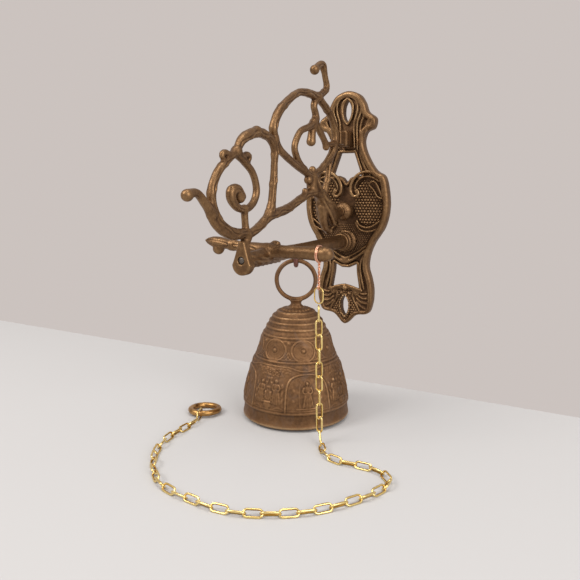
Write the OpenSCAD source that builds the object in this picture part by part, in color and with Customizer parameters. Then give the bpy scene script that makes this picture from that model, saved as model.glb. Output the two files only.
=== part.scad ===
// Wall bell on an openwork scroll bracket, rung by a rocker and a pull chain.
// The wall is the plane y = 0 and the bell stands out from it towards -Y.
// The origin lies on the back of the plate, midway between its two screw slots.

/* [Backplate] */
// Height of the plate from tip to tip
plate_h = 232; // [210:1:250]
// Width of the plate at its widest
plate_w = 90; // [80:1:96]
// Thickness of the plate's flat web
plate_t = 5; // [4:0.5:6]
// Height of the ridge along the outer edge, from the wall
rim_d = 9; // [7:0.5:12]
// Distance between the two screw slots
slot_gap = 193; // [190:1:195]
// Width of a screw slot
slot_w = 7; // [5:0.5:7.5]
// Length of a screw slot
slot_l = 17; // [14:1:18]

/* [Scroll bracket] */
// Radius of the scroll strands
strand_r = 2.8; // [2.4:0.1:3.2]
// Distance of the front eye's middle from the wall
eye_t = 193; // [190:1:196]
// Thickness of the eye
eye_thick = 8; // [6:0.5:9]

/* [Rocker] */
// Height of the rocking axis over the origin
shaft_z = -30; // [-31:0.5:-29]
// Distance of the crossbeam from the wall
beam_t = 159; // [156:1:162]
// Height of the crossbeam's middle over the origin
beam_z = -26; // [-27:0.5:-25]
// Reach of the blunt arm that carries the chain
near_arm = 58; // [54:1:60]
// Reach of the leaf arm
far_arm = 61; // [58:1:64]
// Rise of the leaf arm towards its tip, in degrees
leaf_tilt = 5.6; // [0:0.2:6]
// Radius of the two pivot pins
pin_r = 2.6; // [2:0.1:2.8]
// Radial clearance of a pin in its bearing
pin_play = 0.05; // [0.02:0.01:0.1]

/* [Bell] */
// Distance of the bell's axis from the wall
bell_t = 111; // [108:1:114]
// Turn of the hook and the bell about the vertical
hook_turn = 24; // [0:1:28]
// Radius of the hook's wire
hook_r = 2; // [1.6:0.1:2]
// Radius of the crown ring's middle line
ring_r = 17; // [16.8:0.1:17.4]
// Radius of the crown ring's section
ring_w = 2; // [1.8:0.1:2]
// Height of the crown ring's middle over the origin
ring_z = -55.8; // [-56.4:0.1:-55.6]
// Height of the bell's mouth over the origin
mouth_z = -175; // [-176:0.5:-174]
// Outer radius of the bell's mouth
mouth_r = 47; // [46.8:0.1:47.4]
// Thickness of the bell's wall
wall = 3; // [2.5:0.25:3.5]
// Length of the clapper from its pivot to the middle of its ball
clapper_l = 58; // [54:1:60]
// Radius of the clapper's ball
ball_r = 8.5; // [7:0.5:9]

/* [Pull chain] */
// Height of the surface that the chain lies on
table_z = -177; // [-180:0.5:-177]
// Width of a chain link across the wire
chain_w = 6.4; // [5:0.2:7]
// Outer diameter of the pull ring
pull_d = 30; // [26:1:34]

/* [Hidden] */
$fn = 64;

bronze = [0.45, 0.34, 0.21];
bell_bronze = [0.47, 0.35, 0.23];
gold = [0.85, 0.72, 0.36];
copper = [0.78, 0.48, 0.36];

// The front and back of the eye, and the face that the rocker's rear end turns against.
eye_front = eye_t + eye_thick / 2;
eye_back = eye_t - eye_thick / 2;
rear_face = 20;
// The lug reaches this far out from the web.
lug_l = 26.5;
// Where the bracket's three stretches meet, as distances from the wall.
bow_end = 122;
arch_end = 165;
// The hook's wire runs through the top of the crown ring, and the bell swings on it.
hook_play = 0.15;
hook_z = ring_z + ring_r - ring_w - hook_r - hook_play;
hook_bend = 4.6;
// The bud hangs under the leaf arm at this distance from the middle.
bud_x = 47;
// The turned ridges on the bell have this radius.
ridge_r = 0.9;
// The clapper hangs on the staple under the crown.
roof_z = -84;
staple_z = -93;
staple_r = 1.5;
staple_bend = 4.5;
clapper_z = staple_z - staple_bend;
// The link that the wire holds hangs from this height, and the chain from the next.
tie_x = 46;
tie_bend = 6.3;
tie_top = beam_z - tie_bend;
tie_low = -50.5;
link_l = 13.5;
link_w = 8.4;
link_top = tie_low - 0.65;
link_low = link_top - link_l;
chain_x = 48;
chain_t = 160;
// The chain's hanging run bends onto the table with this radius.
bend_r = 11;

// ---- Curves ----
function unit(v) = v / norm(v);
function spline(a, b, c, d, t) = ((2 * b) + (c - a) * t + (2 * a - 5 * b + 4 * c - d) * t * t
    + (3 * b - a - 3 * c + d) * t * t * t) / 2;
// A smooth open curve through points, with n steps between two of them.
function smooth(p, n) = let (m = len(p) - 1) concat([for (i = [0:m - 1], k = [0:n - 1])
    spline(p[max(i - 1, 0)], p[i], p[i + 1], p[min(i + 2, m)], k / n)], [p[m]]);
// A smooth closed curve through points.
function smooth_loop(p, n) = let (m = len(p)) [for (i = [0:m - 1], k = [0:n - 1])
    spline(p[(i + m - 1) % m], p[i], p[(i + 1) % m], p[(i + 2) % m], k / n)];
function mirrored(p) = concat(p, [for (i = [len(p) - 1:-1:0]) if (abs(p[i][0]) > 0.01)
    [-p[i][0], p[i][1]]]);
// Points given as distance from the wall and height, in the bracket's plane.
function side(p) = [for (q = p) [0, -q[0], q[1]]];
function along(p, i) = unit(p[min(i + 1, len(p) - 1)] - p[max(i - 1, 0)]);

// A tube along a path, whose radius goes from r0 to r1; up is never along the path.
module tube(path, r0, r1, up, sides = 8) {
    n = len(path);
    points = [for (i = [0:n - 1]) let (t = along(path, i), a = unit(cross(up, t)), b = cross(t, a),
        r = r0 + (r1 - r0) * i / (n - 1)) for (k = [0:sides - 1])
        path[i] + r * (cos(360 * k / sides) * a + sin(360 * k / sides) * b)];
    sides_faces = [for (i = [0:n - 2], k = [0:sides - 1]) let (j = (k + 1) % sides)
        [i * sides + k, (i + 1) * sides + k, (i + 1) * sides + j, i * sides + j]];
    ends = [[for (k = [0:sides - 1]) k], [for (k = [sides - 1:-1:0]) (n - 1) * sides + k]];
    polyhedron(points, concat(sides_faces, ends));
}

// A turned piece whose axis points out of the wall; its profile is [radius, distance from wall].
module turned_out(x, z, profile) {
    translate([x, 0, z]) rotate([90, 0, 0]) rotate_extrude() polygon(profile);
}

// ---- Backplate ----
function plate_half() = [[0, 116], [12, 112], [18, 104], [21.5, 95.5], [29.5, 89], [28, 80],
    [20.5, 76], [18, 66], [22, 54], [31, 40], [40, 34], [44, 20], [45, 2], [41, -15],
    [31, -31], [26, -44], [25, -56], [28.5, -68], [30.5, -80], [29.5, -93], [25, -103],
    [12, -106], [0, -116]];
function plate_scaled(p) = [for (q = p) [q[0] * plate_w / 90, q[1] * plate_h / 232]];
module plate_outline() polygon(smooth_loop(plate_scaled(mirrored(plate_half())), 4));
module upper_window() polygon([[7.5, 57], [15.5, 35], [9, 35], [4, 33], [0, 28], [-4, 33],
    [-9, 35], [-15.5, 35], [-7.5, 57]]);
module lower_window() polygon([[4, -57], [12, -53], [12.5, -62], [15.5, -79], [8, -77], [0, -75],
    [-8, -77], [-15.5, -79], [-12.5, -62], [-12, -53], [-4, -57]]);
module screw_slot(z) translate([0, z]) {
    for (s = [-1, 1]) translate([0, s * (slot_l - slot_w) / 2]) circle(d = slot_w);
    square([slot_w, slot_l - slot_w], center = true);
}
// One raised scroll of the heart: an arc of round section lying on the web.
module volute(x, z, r, from, turn, w) {
    translate([x, z, plate_t - w * 0.25]) rotate([0, 0, from])
        rotate_extrude(angle = turn) translate([r, 0]) circle(w);
}
module backplate() color(bronze) rotate([90, 0, 0]) difference() {
    union() {
        linear_extrude(plate_t) plate_outline();
        linear_extrude(rim_d) difference() {
            plate_outline();
            offset(r = -3.2) plate_outline();
        }
        for (s = [0, 1]) mirror([s, 0, 0]) {
            volute(15, 22, 11.5, 5, 200, 1.9);
            volute(8, 20, 4.5, 130, 220, 1.5);
            volute(14, -84, 8, -20, 190, 1.6);
            volute(13, 62, 5, -60, 170, 1.4);
            for (row = [0:4], col = [0:2])
                translate([20 + 5 * col + (row % 2) * 2.2, 9 - 5 * row, plate_t - 0.3])
                    sphere(1.9);
        }
    }
    translate([0, 0, -1]) linear_extrude(rim_d + 2) {
        upper_window();
        lower_window();
        screw_slot(slot_gap / 2);
        screw_slot(-slot_gap / 2);
    }
}

// The boss under the heart that carries the rocker's rear pin.
module rear_bearing() color(bronze) difference() {
    turned_out(0, shaft_z, [[0, plate_t], [11.5, plate_t], [11.5, 7.5], [8.5, 9], [10, 11.5],
        [10, 14], [8, 16], [8.6, 17], [8.6, 19], [7.8, rear_face], [0, rear_face]]);
    translate([0, 0, shaft_z]) rotate([90, 0, 0]) translate([0, 0, 9])
        cylinder(r = pin_r + pin_play, h = 20);
}
// The square lug that the bracket's bow rests against.
module standoff_lug() color(bronze) translate([0, 0, 70]) rotate([90, 0, 0])
    translate([0, 0, plate_t]) {
        translate([-6, -7.5, 0]) cube([12, 15, 16]);
        translate([-4.5, -6, 0]) cube([9, 12, lug_l]);
    }
// The ball-headed stud that holds the bracket's root to the plate.
module bracket_stud() color(bronze) turned_out(0, 0, [[0, plate_t], [7, plate_t], [7, 6.5],
    [4.5, 7.5], [6.6, 9], [8, 12], [8, 14], [6.6, 17], [4.6, 19], [4.6, 22], [0, 22]]);

// ---- Scroll bracket ----
module strand(points, r0 = strand_r, r1 = strand_r) {
    p = side(smooth(points, 3));
    tube(p, r0, r1, [1, 0, 0]);
}
module knob(t, z, r) translate([0, -t, z]) sphere(r, $fn = 12);
// A leafy lobe between two round ends.
module lobe(a, ra, b, rb) hull() {
    knob(a[0], a[1], ra);
    knob(b[0], b[1], rb);
}
// The whole openwork casting; its three stretches below meet face to face.
module scroll_casting() difference() {
    union() {
        // Knobs where strands meet or end
        knob(78, 124, 4);
        knob(72, 102, 4.2);
        knob(147, 60, 3.9);
        knob(75.5, 83.5, 3.3);
        knob(98, 39, 3.4);
        knob(37, 62, 3.5);
        knob(152.5, 8.6, 3.7);
        knob(189, -11, 4.1);
        knob(191, 8, 3.3);
        knob(197, 17, 4.2);
        knob(231, 5, 3.5);
        knob(50, 30, 3.1);
        // The upper sweep, its finial, and the bow that faces the plate
        strand([[78, 124], [64, 131], [57, 121], [55, 111], [72, 102]], 3.2, 3);
        strand([[72, 102], [92, 103], [111, 100], [137, 85], [148, 71], [146, 62]]);
        strand([[146, 62], [138, 53], [114, 43], [95, 37], [81, 33]]);
        strand([[72, 102], [58, 96], [43, 87], [34, 74], [37, 60], [52, 47], [66, 39], [81, 33]]);
        strand([[37, 60], [46, 45], [50, 30]], 2.6, 2.4);
        // The small scroll inside it
        strand([[72, 102], [79, 94], [75, 84], [86, 76], [104, 70], [114, 57], [108, 46],
            [98, 39]], 2.6, 2.6);
        strand([[76, 83], [67, 72], [52, 63], [38, 64]], 2.4, 2.4);
        lobe([80, 77], 3.2, [84, 63], 3);
        lobe([60, 69], 2, [54, 60], 2.4);
        // The arch over the vertical strut
        strand([[200, 49], [192, 58], [174, 64], [156, 62], [147, 54], [147, 44], [149, 26],
            [152, 10], [157, 2]]);
        knob(174, 68, 3.4);
        // The outer loop with its curled tip
        strand([[200, 49], [212, 42], [223, 34], [230, 23], [230, 12], [223, 0], [208, -8],
            [189, -10]], 2.8, 3.2);
        strand([[231, 6], [238, 13], [247, 20], [257, 19]], 2.8, 3.6);
        knob(257, 18, 4.4);
        // The collar and its two horns
        knob(200, 49, 4.2);
        lobe([200, 49], 2.6, [217, 46], 2.2);
        lobe([200, 49], 2.6, [185, 46], 2.2);
        // The inner spiral on its stem
        strand([[198, 46], [190, 42], [179, 34], [174, 23], [177, 14], [187, 8], [199, 9],
            [207, 15], [207, 21], [201, 22], [197, 17]], 2.6, 3.4);
        strand([[191, 8], [190, -3], [188, -14]], 2.6, 3);
        // The lower arc that runs from the eye to the knot
        strand([[187, -12], [172, -7], [158, 0], [146, 3], [127, 6], [99, 15], [81, 20.4]], 3, 3.4);
        // The knot, and the leafy bulb that turns down to the plate
        lobe([81, 33], 5.4, [82, 20], 5);
        knob(89, 30, 3.6);
        knob(73, 31, 4);
        knob(76, 24, 4.6);
        lobe([82, 20], 5, [66, 18], 6);
        lobe([66, 18], 6, [52, 6], 8.4);
        lobe([52, 6], 8.4, [40, -4], 8);
        lobe([40, -4], 8, [24, -1], 4.4);
        lobe([60, 4], 5, [58, -12], 4);
        lobe([58, -12], 4, [48, -16], 3);
        lobe([50, 30], 2.4, [56, 18], 4);
        // The neck down to the eye
        lobe([188, -12], 3.4, [190, -20], 3);
    }
    // Flats against the lug, the stud and the eye
    translate([-9, -(plate_t + lug_l), 62]) cube([18, 12, 16]);
    translate([-12, -22, -12]) cube([24, 12, 24]);
    translate([-12, -eye_front - 6, -46]) cube([24, 30, 28]);
}
// The stretch of the casting between two distances from the wall.
module stretch(t0, t1) color(bronze) intersection() {
    scroll_casting();
    translate([-20, -t1, -60]) cube([40, t1 - t0, 220]);
}
module scroll_bow() stretch(0, bow_end);
module scroll_arch() stretch(bow_end, arch_end);
module scroll_loop() stretch(arch_end, 280);
// The teardrop eye: it stands parallel to the wall and carries the rocker's front pin.
module bracket_eye() color(bronze) rotate([90, 0, 0]) translate([0, 0, eye_back])
    difference() {
        union() {
            translate([0, -33, 0]) cylinder(r = 8.2, h = eye_thick);
            linear_extrude(eye_thick) polygon([[-8, -31.5], [-6.6, -27], [-4.6, -22.5], [-3, -18],
                [3, -18], [4.6, -22.5], [6.6, -27], [8, -31.5]]);
        }
        translate([0, shaft_z, -1]) cylinder(r = pin_r + pin_play, h = eye_thick + 2);
    }

// ---- Rocker ----
module rocker_lever() color(bronze) difference() {
    union() {
        // The lever's shaft, which lies between the bearing boss and the eye
        turned_out(0, shaft_z, [[0, rear_face + 0.3], [6.6, rear_face + 0.3], [7.4, 23], [6.2, 27],
            [6.4, 40], [6.2, 60], [5.6, 85], [5.4, 111], [5.4, 140], [5.8, 158], [6.2, 165],
            [5.8, 174], [5.4, 184], [4.6, eye_back - 0.3], [0, eye_back - 0.3]]);
        // The smooth arm, and the leaf arm with the bud beneath it
        translate([0, -beam_t, beam_z]) rotate([0, 90, 0]) rotate_extrude() polygon([[0, 0],
            [6, 0], [5.4, 12], [4.9, 26], [5.1, 38], [5.7, 46], [6, 51], [5.4, near_arm - 3],
            [3.6, near_arm - 1], [0, near_arm]]);
        translate([0, -beam_t, beam_z]) rotate([0, leaf_tilt - 90, 0]) rotate_extrude() polygon([[0, -5],
            [4.7, -5], [5.8, 2], [5.4, 14], [4.6, 30], [5, 38], [5.8, 45], [4.8, 52],
            [2.8, far_arm - 3], [0, far_arm]]);
        translate([-bud_x, -beam_t, beam_z + bud_x * tan(leaf_tilt) - 5.4]) sphere(4.6);
        translate([7, -beam_t + 3, beam_z + 5.6]) sphere(3);
        // The serrated lower edge of the leaf behind the eye
        rotate([90, 0, 90]) translate([0, 0, -2]) linear_extrude(4) polygon([
            for (q = [[186, -31], [186, -37.5], [180, -38], [178, -36.5], [172, -37.6],
            [170, -36.2], [164, -37], [162, -35.8], [156, -36.4], [140, -33]]) [-q[0], q[1]]]);
    }
    // Bores for the two pins and the two legs of the hook
    translate([0, 0, shaft_z]) rotate([90, 0, 0]) {
        cylinder(r = pin_r, h = 34);
        translate([0, 0, 175]) cylinder(r = pin_r, h = 20);
    }
    hook_legs(hook_r);
}
module rear_pivot_pin() color("dimgray") translate([0, 0, shaft_z]) rotate([90, 0, 0])
    translate([0, 0, 9.5]) cylinder(r = pin_r, h = 34 - 9.5);
module front_pivot_pin() color("dimgray") translate([0, 0, shaft_z]) rotate([90, 0, 0])
    translate([0, 0, 175]) cylinder(r = pin_r, h = eye_front - 1 - 175);

// Places a child at the bell's axis, turned as the hook is.
module at_bell(z) translate([0, -bell_t, z]) rotate([0, 0, hook_turn]) children();
module hook_legs(r) at_bell(hook_z + hook_bend) for (s = [-1, 1])
    translate([0, s * hook_bend, 0]) cylinder(r = r, h = shaft_z + 1.5 - hook_z - hook_bend);
module bell_hook() color("saddlebrown") {
    hook_legs(hook_r);
    at_bell(hook_z + hook_bend) rotate([0, 90, 0]) rotate([0, 0, -90])
        rotate_extrude(angle = 180) translate([hook_bend, 0]) circle(hook_r);
}

// The copper wire: a loop round the arm, and its twisted tail down to the wide link.
module tie_wire() color(copper) {
    translate([tie_x, -beam_t, beam_z]) rotate([0, 90, 0]) rotate_extrude()
        translate([tie_bend, 0]) circle(0.6);
    translate([tie_x, -beam_t, tie_low]) cylinder(r = 1.1, h = tie_top - tie_low);
    translate([tie_x, -beam_t, tie_low - 1.2]) rotate([0, 90, 0]) rotate_extrude()
        translate([1.7, 0]) circle(0.5);
}
// A flat stadium of round wire standing upright, its length along Z.
module stadium(len_out, wide_out, wire) {
    r = wide_out / 2 - wire;
    h = len_out / 2 - wide_out / 2;
    for (s = [0, 1]) mirror([0, 0, s]) translate([0, 0, h]) rotate([90, 0, 0])
        rotate_extrude(angle = 180) translate([r, 0]) circle(wire);
    for (s = [-1, 1]) translate([s * r, 0, -h]) cylinder(r = wire, h = 2 * h);
}
module tie_link() color(gold) translate([tie_x, -beam_t, (link_top + link_low) / 2])
    stadium(link_l, link_w, 0.55);

// ---- Bell ----
// A turned ridge that stands on the profile at q and faces the direction a.
function ridge(q, a) = [for (b = [90:-45:-90]) q + ridge_r * [cos(a + b), sin(a + b)]];
// The bell's outside as [radius, height]: the ridged crown, the shoulder, the waist and the mouth.
function dome() = concat([[7, -79.6], [12, -80.7], [14.4, -81.6]], ridge([16.8, -82.9], 60),
    [[19, -84.7]], ridge([20.8, -86.6], 48), [[22.3, -88.7]], ridge([23.4, -90.7], 36),
    [[24.8, -93.2]], ridge([25.9, -95.4], 32), [[27.6, -98.4]], ridge([29, -101.3], 26),
    [[30.5, -104.8], [33, -113.5], [34.6, -118.9]], ridge([35.3, -120.8], 20),
    [[37.7, -124.3], [40.3, -130.7], [43.1, -139.4], [45.4, -148], [46.8, -155.6], [47.2, -161]],
    ridge([46.7, -166.4], 0), [[46.6, -169], [mouth_r, mouth_z + 2.7], [mouth_r - 1.2, mouth_z]]);
// The bell's inside follows the outside without its ridges.
function hollow() = concat([[0, roof_z]], [for (q = [[17, -83.3], [21, -87.4], [24.4, -93], [27.4, -98.4],
    [30.3, -104.8], [32.8, -113.5], [35, -121.5], [37.8, -126], [40.1, -131.8], [42.9, -140.5],
    [45.2, -149], [46.6, -156.6], [46.8, -162], [mouth_r, mouth_z + 2.5]])
    [q[0] - wall, q[1] - wall * 0.7]], [[mouth_r - wall, mouth_z - 3], [0, mouth_z - 3]]);
module bell_shell() color(bell_bronze) at_bell(0) difference() {
    rotate_extrude() difference() {
        polygon(concat([[0, dome()[0][1]]], dome(), [[0, mouth_z]]));
        polygon(hollow());
    }
    translate([0, 0, staple_z]) staple_legs();
}
// The ring that the bell hangs by, on the neck that stands on the dome.
module crown_ring() color(bell_bronze) at_bell(0) {
    translate([0, 0, ring_z]) rotate([90, 0, 0]) rotate_extrude() translate([ring_r, 0])
        circle(ring_w);
    rotate_extrude() polygon([[0, -72.8], [5.4, -73.2], [4.8, -75.6], [5.2, -78], dome()[0],
        [0, dome()[0][1]]]);
}
// The staple's two legs stand in bores in the crown.
module staple_legs() for (s = [-1, 1]) translate([0, s * staple_bend, 0])
    cylinder(r = staple_r, h = roof_z + 2.5 - staple_z);
module clapper_staple() color("dimgray") at_bell(staple_z) {
    staple_legs();
    rotate([0, 90, 0]) rotate([0, 0, -90]) rotate_extrude(angle = 180)
        translate([staple_bend, 0]) circle(staple_r);
}
// The clapper's eye hangs on the staple; its rod runs down to the ball.
rod_r = 1.6;
rod_eye_r = staple_r + 0.1 + rod_r;
module clapper_rod() color("dimgray") at_bell(0) {
    translate([0, 0, clapper_z]) rotate([90, 0, 0]) rotate_extrude()
        translate([rod_eye_r, 0]) circle(rod_r);
    translate([0, 0, clapper_z - clapper_l + ball_r - 1]) cylinder(r = rod_r * 0.9,
        h = clapper_l - ball_r + 1 - rod_eye_r);
}
module clapper_ball() color("dimgray") at_bell(clapper_z - clapper_l) difference() {
    union() {
        sphere(ball_r);
        translate([0, 0, -ball_r - 3]) cylinder(r = 3, h = 5);
    }
    translate([0, 0, ball_r - 1]) cylinder(r = rod_r * 0.9, h = 5);
}

// ---- Chain ----
// The hanging run leaves the wide link, bends over a short arc and goes on along the table.
chain_z = table_z + chain_w / 2;
lay_dir = unit([10, -14]);
drop_top = link_low - 0.6;
drop_points = concat(
    [for (i = [0:10]) let (f = i / 10) [tie_x + f * (chain_x - tie_x), -beam_t + f * (beam_t
        - chain_t), drop_top + f * (chain_z + bend_r - drop_top)]],
    [for (i = [1:6]) let (a = 15 * i) [chain_x + lay_dir[0] * bend_r * (1 - cos(a)),
        -chain_t + lay_dir[1] * bend_r * (1 - cos(a)), chain_z + bend_r - bend_r * sin(a)]]);
module chain_drop() color(gold)
    tube(drop_points, chain_w / 2, chain_w / 2, [lay_dir[1], -lay_dir[0], 0]);
// The chain's run over the table, in hand-set places.
run_points = [[62, -179], [70, -184.5], [79, -186], [88, -185], [97, -184.5], [105, -185.5],
    [113, -189], [119, -196], [120, -206], [116.5, -217], [111, -228], [103, -241], [94, -253],
    [82, -264], [68, -273], [52, -280], [35, -283], [17, -282], [0, -280], [-16, -275], [-31, -264],
    [-44, -250], [-53, -236], [-59, -221], [-61.5, -205], [-61.5, -190], [-62.8, -174.6]];
module chain_run() color(gold) {
    last = drop_points[len(drop_points) - 1];
    p = concat([last, last + 4 * [lay_dir[0], lay_dir[1], 0]],
        [for (q = run_points) [q[0], q[1], chain_z]]);
    tube(smooth(p, 2), chain_w / 2, chain_w / 2, [0, 0, 1]);
}
// The end link stands on the table and is threaded through the pull ring, whose near side it lifts.
pull_at = [-71, -152];
pull_w = 2.6;
pull_turn = -70;
pull_tilt = 3.7;
pull_mid = pull_d / 2 - pull_w;
end_l = 15.5;
end_w = 9.4;
end_wire = 0.7;
module chain_end_link() color(gold) translate([pull_at[0], pull_at[1], table_z + end_w / 2])
    rotate([0, 0, pull_turn]) translate([pull_mid - pull_w - 1.1 + (end_l - 2 * end_wire) / 2, 0, 0])
    rotate([0, 90, 0]) stadium(end_l, end_w, end_wire);
module pull_ring() color("peru") translate([pull_at[0], pull_at[1], table_z + pull_w + 0.85])
    rotate([0, 0, pull_turn]) rotate([0, -pull_tilt, 0]) rotate([0, 0, 105])
    rotate_extrude(angle = 352) translate([pull_mid, 0]) circle(pull_w);

backplate();
rear_bearing();
standoff_lug();
bracket_stud();
scroll_bow();
scroll_arch();
scroll_loop();
bracket_eye();
rocker_lever();
rear_pivot_pin();
front_pivot_pin();
bell_hook();
tie_wire();
tie_link();
crown_ring();
bell_shell();
clapper_staple();
clapper_rod();
clapper_ball();
chain_drop();
chain_run();
chain_end_link();
pull_ring();
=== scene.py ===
"""A wall bell on an openwork scroll bracket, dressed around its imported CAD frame."""

import math

import bmesh
import bpy
import numpy as np
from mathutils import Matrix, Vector


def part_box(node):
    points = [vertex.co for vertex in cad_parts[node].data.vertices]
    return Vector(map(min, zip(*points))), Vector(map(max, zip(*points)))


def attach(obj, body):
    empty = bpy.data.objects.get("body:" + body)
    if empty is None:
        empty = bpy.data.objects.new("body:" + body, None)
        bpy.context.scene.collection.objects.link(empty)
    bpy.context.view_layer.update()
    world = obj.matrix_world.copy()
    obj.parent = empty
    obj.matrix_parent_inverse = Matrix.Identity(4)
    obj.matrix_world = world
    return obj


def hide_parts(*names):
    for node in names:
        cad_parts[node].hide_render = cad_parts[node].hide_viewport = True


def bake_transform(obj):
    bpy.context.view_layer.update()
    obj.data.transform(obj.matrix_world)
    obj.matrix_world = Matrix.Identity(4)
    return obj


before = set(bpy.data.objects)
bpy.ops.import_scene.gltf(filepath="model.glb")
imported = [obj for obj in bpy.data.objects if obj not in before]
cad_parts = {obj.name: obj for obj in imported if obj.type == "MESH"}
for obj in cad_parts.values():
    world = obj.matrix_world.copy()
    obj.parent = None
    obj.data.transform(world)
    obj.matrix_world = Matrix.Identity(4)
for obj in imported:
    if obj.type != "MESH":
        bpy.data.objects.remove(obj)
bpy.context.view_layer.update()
MM = 0.001


# ---------------------------------------------------------------- camera
def make_camera():
    data = bpy.data.cameras.new("camera")
    data.lens, data.sensor_width = 37.06, 36.0
    data.clip_start, data.clip_end = 0.01, 20.0
    cam = bpy.data.objects.new("camera", data)
    bpy.context.scene.collection.objects.link(cam)
    cam.location = (0.246, -0.562, 0.024)
    cam.rotation_euler = (math.radians(90 - 9.8), 0, math.radians(29.2))
    bpy.context.scene.camera = cam


make_camera()


# ---------------------------------------------------------------- curves
def unit(v):
    return v / np.maximum(np.linalg.norm(v, axis=-1, keepdims=True), 1e-12)


def smooth(points, steps):
    """A Catmull-Rom curve through the points, with steps between two of them."""
    p = np.asarray(points, float)
    p = np.concatenate([p[:1], p, p[-1:]])
    t = np.arange(steps)[:, None] / steps
    out = []
    for a, b, c, d in zip(p, p[1:], p[2:], p[3:]):
        curve = 2 * b + (c - a) * t + (2 * a - 5 * b + 4 * c - d) * t**2 + (3 * b - a - 3 * c + d) * t**3
        out.append(curve / 2)
    return np.concatenate(out + [p[-1:]])


def smooth_loop(points, steps):
    p = [list(q) for q in points]
    return smooth(p[-1:] + p + p[:2], steps)[steps : -1 - steps]


def even(path, step):
    """The path again, with points about step apart, and how far along it each lies."""
    run = np.concatenate([[0], np.cumsum(np.linalg.norm(np.diff(path, axis=0), axis=1))])
    at = np.linspace(0, run[-1], max(2, int(round(run[-1] / step)) + 1))
    return np.stack([np.interp(at, run, path[:, k]) for k in range(path.shape[1])], axis=1), at


def frames(path, up):
    """Tangent, up and side at each point, turned as little as possible along the path."""
    tangent = unit(np.gradient(path, axis=0))
    ups, u = [], np.asarray(up, float)
    for t in tangent:
        u = unit(u - t * np.dot(u, t))
        ups.append(u)
    ups = np.array(ups)
    return tangent, ups, np.cross(tangent, ups)


def ripple(points, size, seed):
    """A smooth uneven value from -1 to 1 at each point, with swells about size across."""
    rng = np.random.default_rng(seed)
    out = np.zeros(len(points))
    for _ in range(14):
        wave = unit(rng.normal(size=3)) * 2 * math.pi / (size * rng.uniform(1.3, 3.2))
        out += np.sin(points @ wave + rng.uniform(0, 2 * math.pi))
    return out / 5.5


# ---------------------------------------------------------------- meshes
def finish_mesh(name, points, faces, body, material, nodes=(), wear=8, shade=None):
    """The object for these vertices, in metres, riding on its body, with how far each vertex stands out."""
    mesh = bpy.data.meshes.new(name)
    if isinstance(faces, np.ndarray):
        mesh.vertices.add(len(points))
        mesh.vertices.foreach_set("co", np.asarray(points, np.float32).ravel())
        mesh.loops.add(faces.size)
        mesh.loops.foreach_set("vertex_index", faces.astype(np.int32).ravel())
        mesh.polygons.add(len(faces))
        mesh.polygons.foreach_set("loop_start", (np.arange(len(faces)) * faces.shape[1]).astype(np.int32))
        mesh.update(calc_edges=True)
    else:
        mesh.from_pydata(np.asarray(points).tolist(), [], faces)
        bm = bmesh.new()
        bm.from_mesh(mesh)
        bmesh.ops.recalc_face_normals(bm, faces=bm.faces)
        bm.to_mesh(mesh)
        bm.free()
    mesh.validate()
    mesh.polygons.foreach_set("use_smooth", [True] * len(mesh.polygons))
    piece = bpy.data.objects.new(name, mesh)
    bpy.context.scene.collection.objects.link(piece)
    mesh.materials.append(material)
    mark_cavity(mesh, wear, shade)
    if body:
        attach(piece, body)
    if nodes:
        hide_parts(*nodes)
    return piece


def mesh_arrays(mesh):
    points = np.empty(len(mesh.vertices) * 3)
    mesh.vertices.foreach_get("co", points)
    edges = np.empty(len(mesh.edges) * 2, np.int64)
    mesh.edges.foreach_get("vertices", edges)
    return points.reshape(-1, 3), edges.reshape(-1, 2)


def spread(values, edges, rounds, share=0.6):
    """Values at the vertices, evened out with their neighbours."""
    a, b = edges.T
    n = len(values)
    degree = np.maximum(np.bincount(a, minlength=n) + np.bincount(b, minlength=n), 1)[:, None]
    v = values.reshape(n, -1).copy()
    for _ in range(rounds):
        total = np.stack(
            [np.bincount(a, v[b, k], n) + np.bincount(b, v[a, k], n) for k in range(v.shape[1])], 1)
        v += share * (total / degree - v)
    return v


def mark_cavity(mesh, rounds, shade=None):
    """Stores how far each vertex stands out of the surface around it, in millimetres, as the attribute wear.
    shade(points in millimetres) adds to it where a whole stretch is rubbed bright or lies deep."""
    points, edges = mesh_arrays(mesh)
    normal = np.empty(len(points) * 3)
    mesh.vertices.foreach_get("normal", normal)
    flat = spread(points, edges, rounds)
    out = ((points - flat) * normal.reshape(-1, 3)).sum(1) / MM
    out = spread(out, edges, 1)[:, 0]
    if shade:
        out = out + shade(points / MM)
    attribute = mesh.attributes.new("wear", "FLOAT", "POINT")
    attribute.data.foreach_set("value", out.astype(np.float32))


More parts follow.
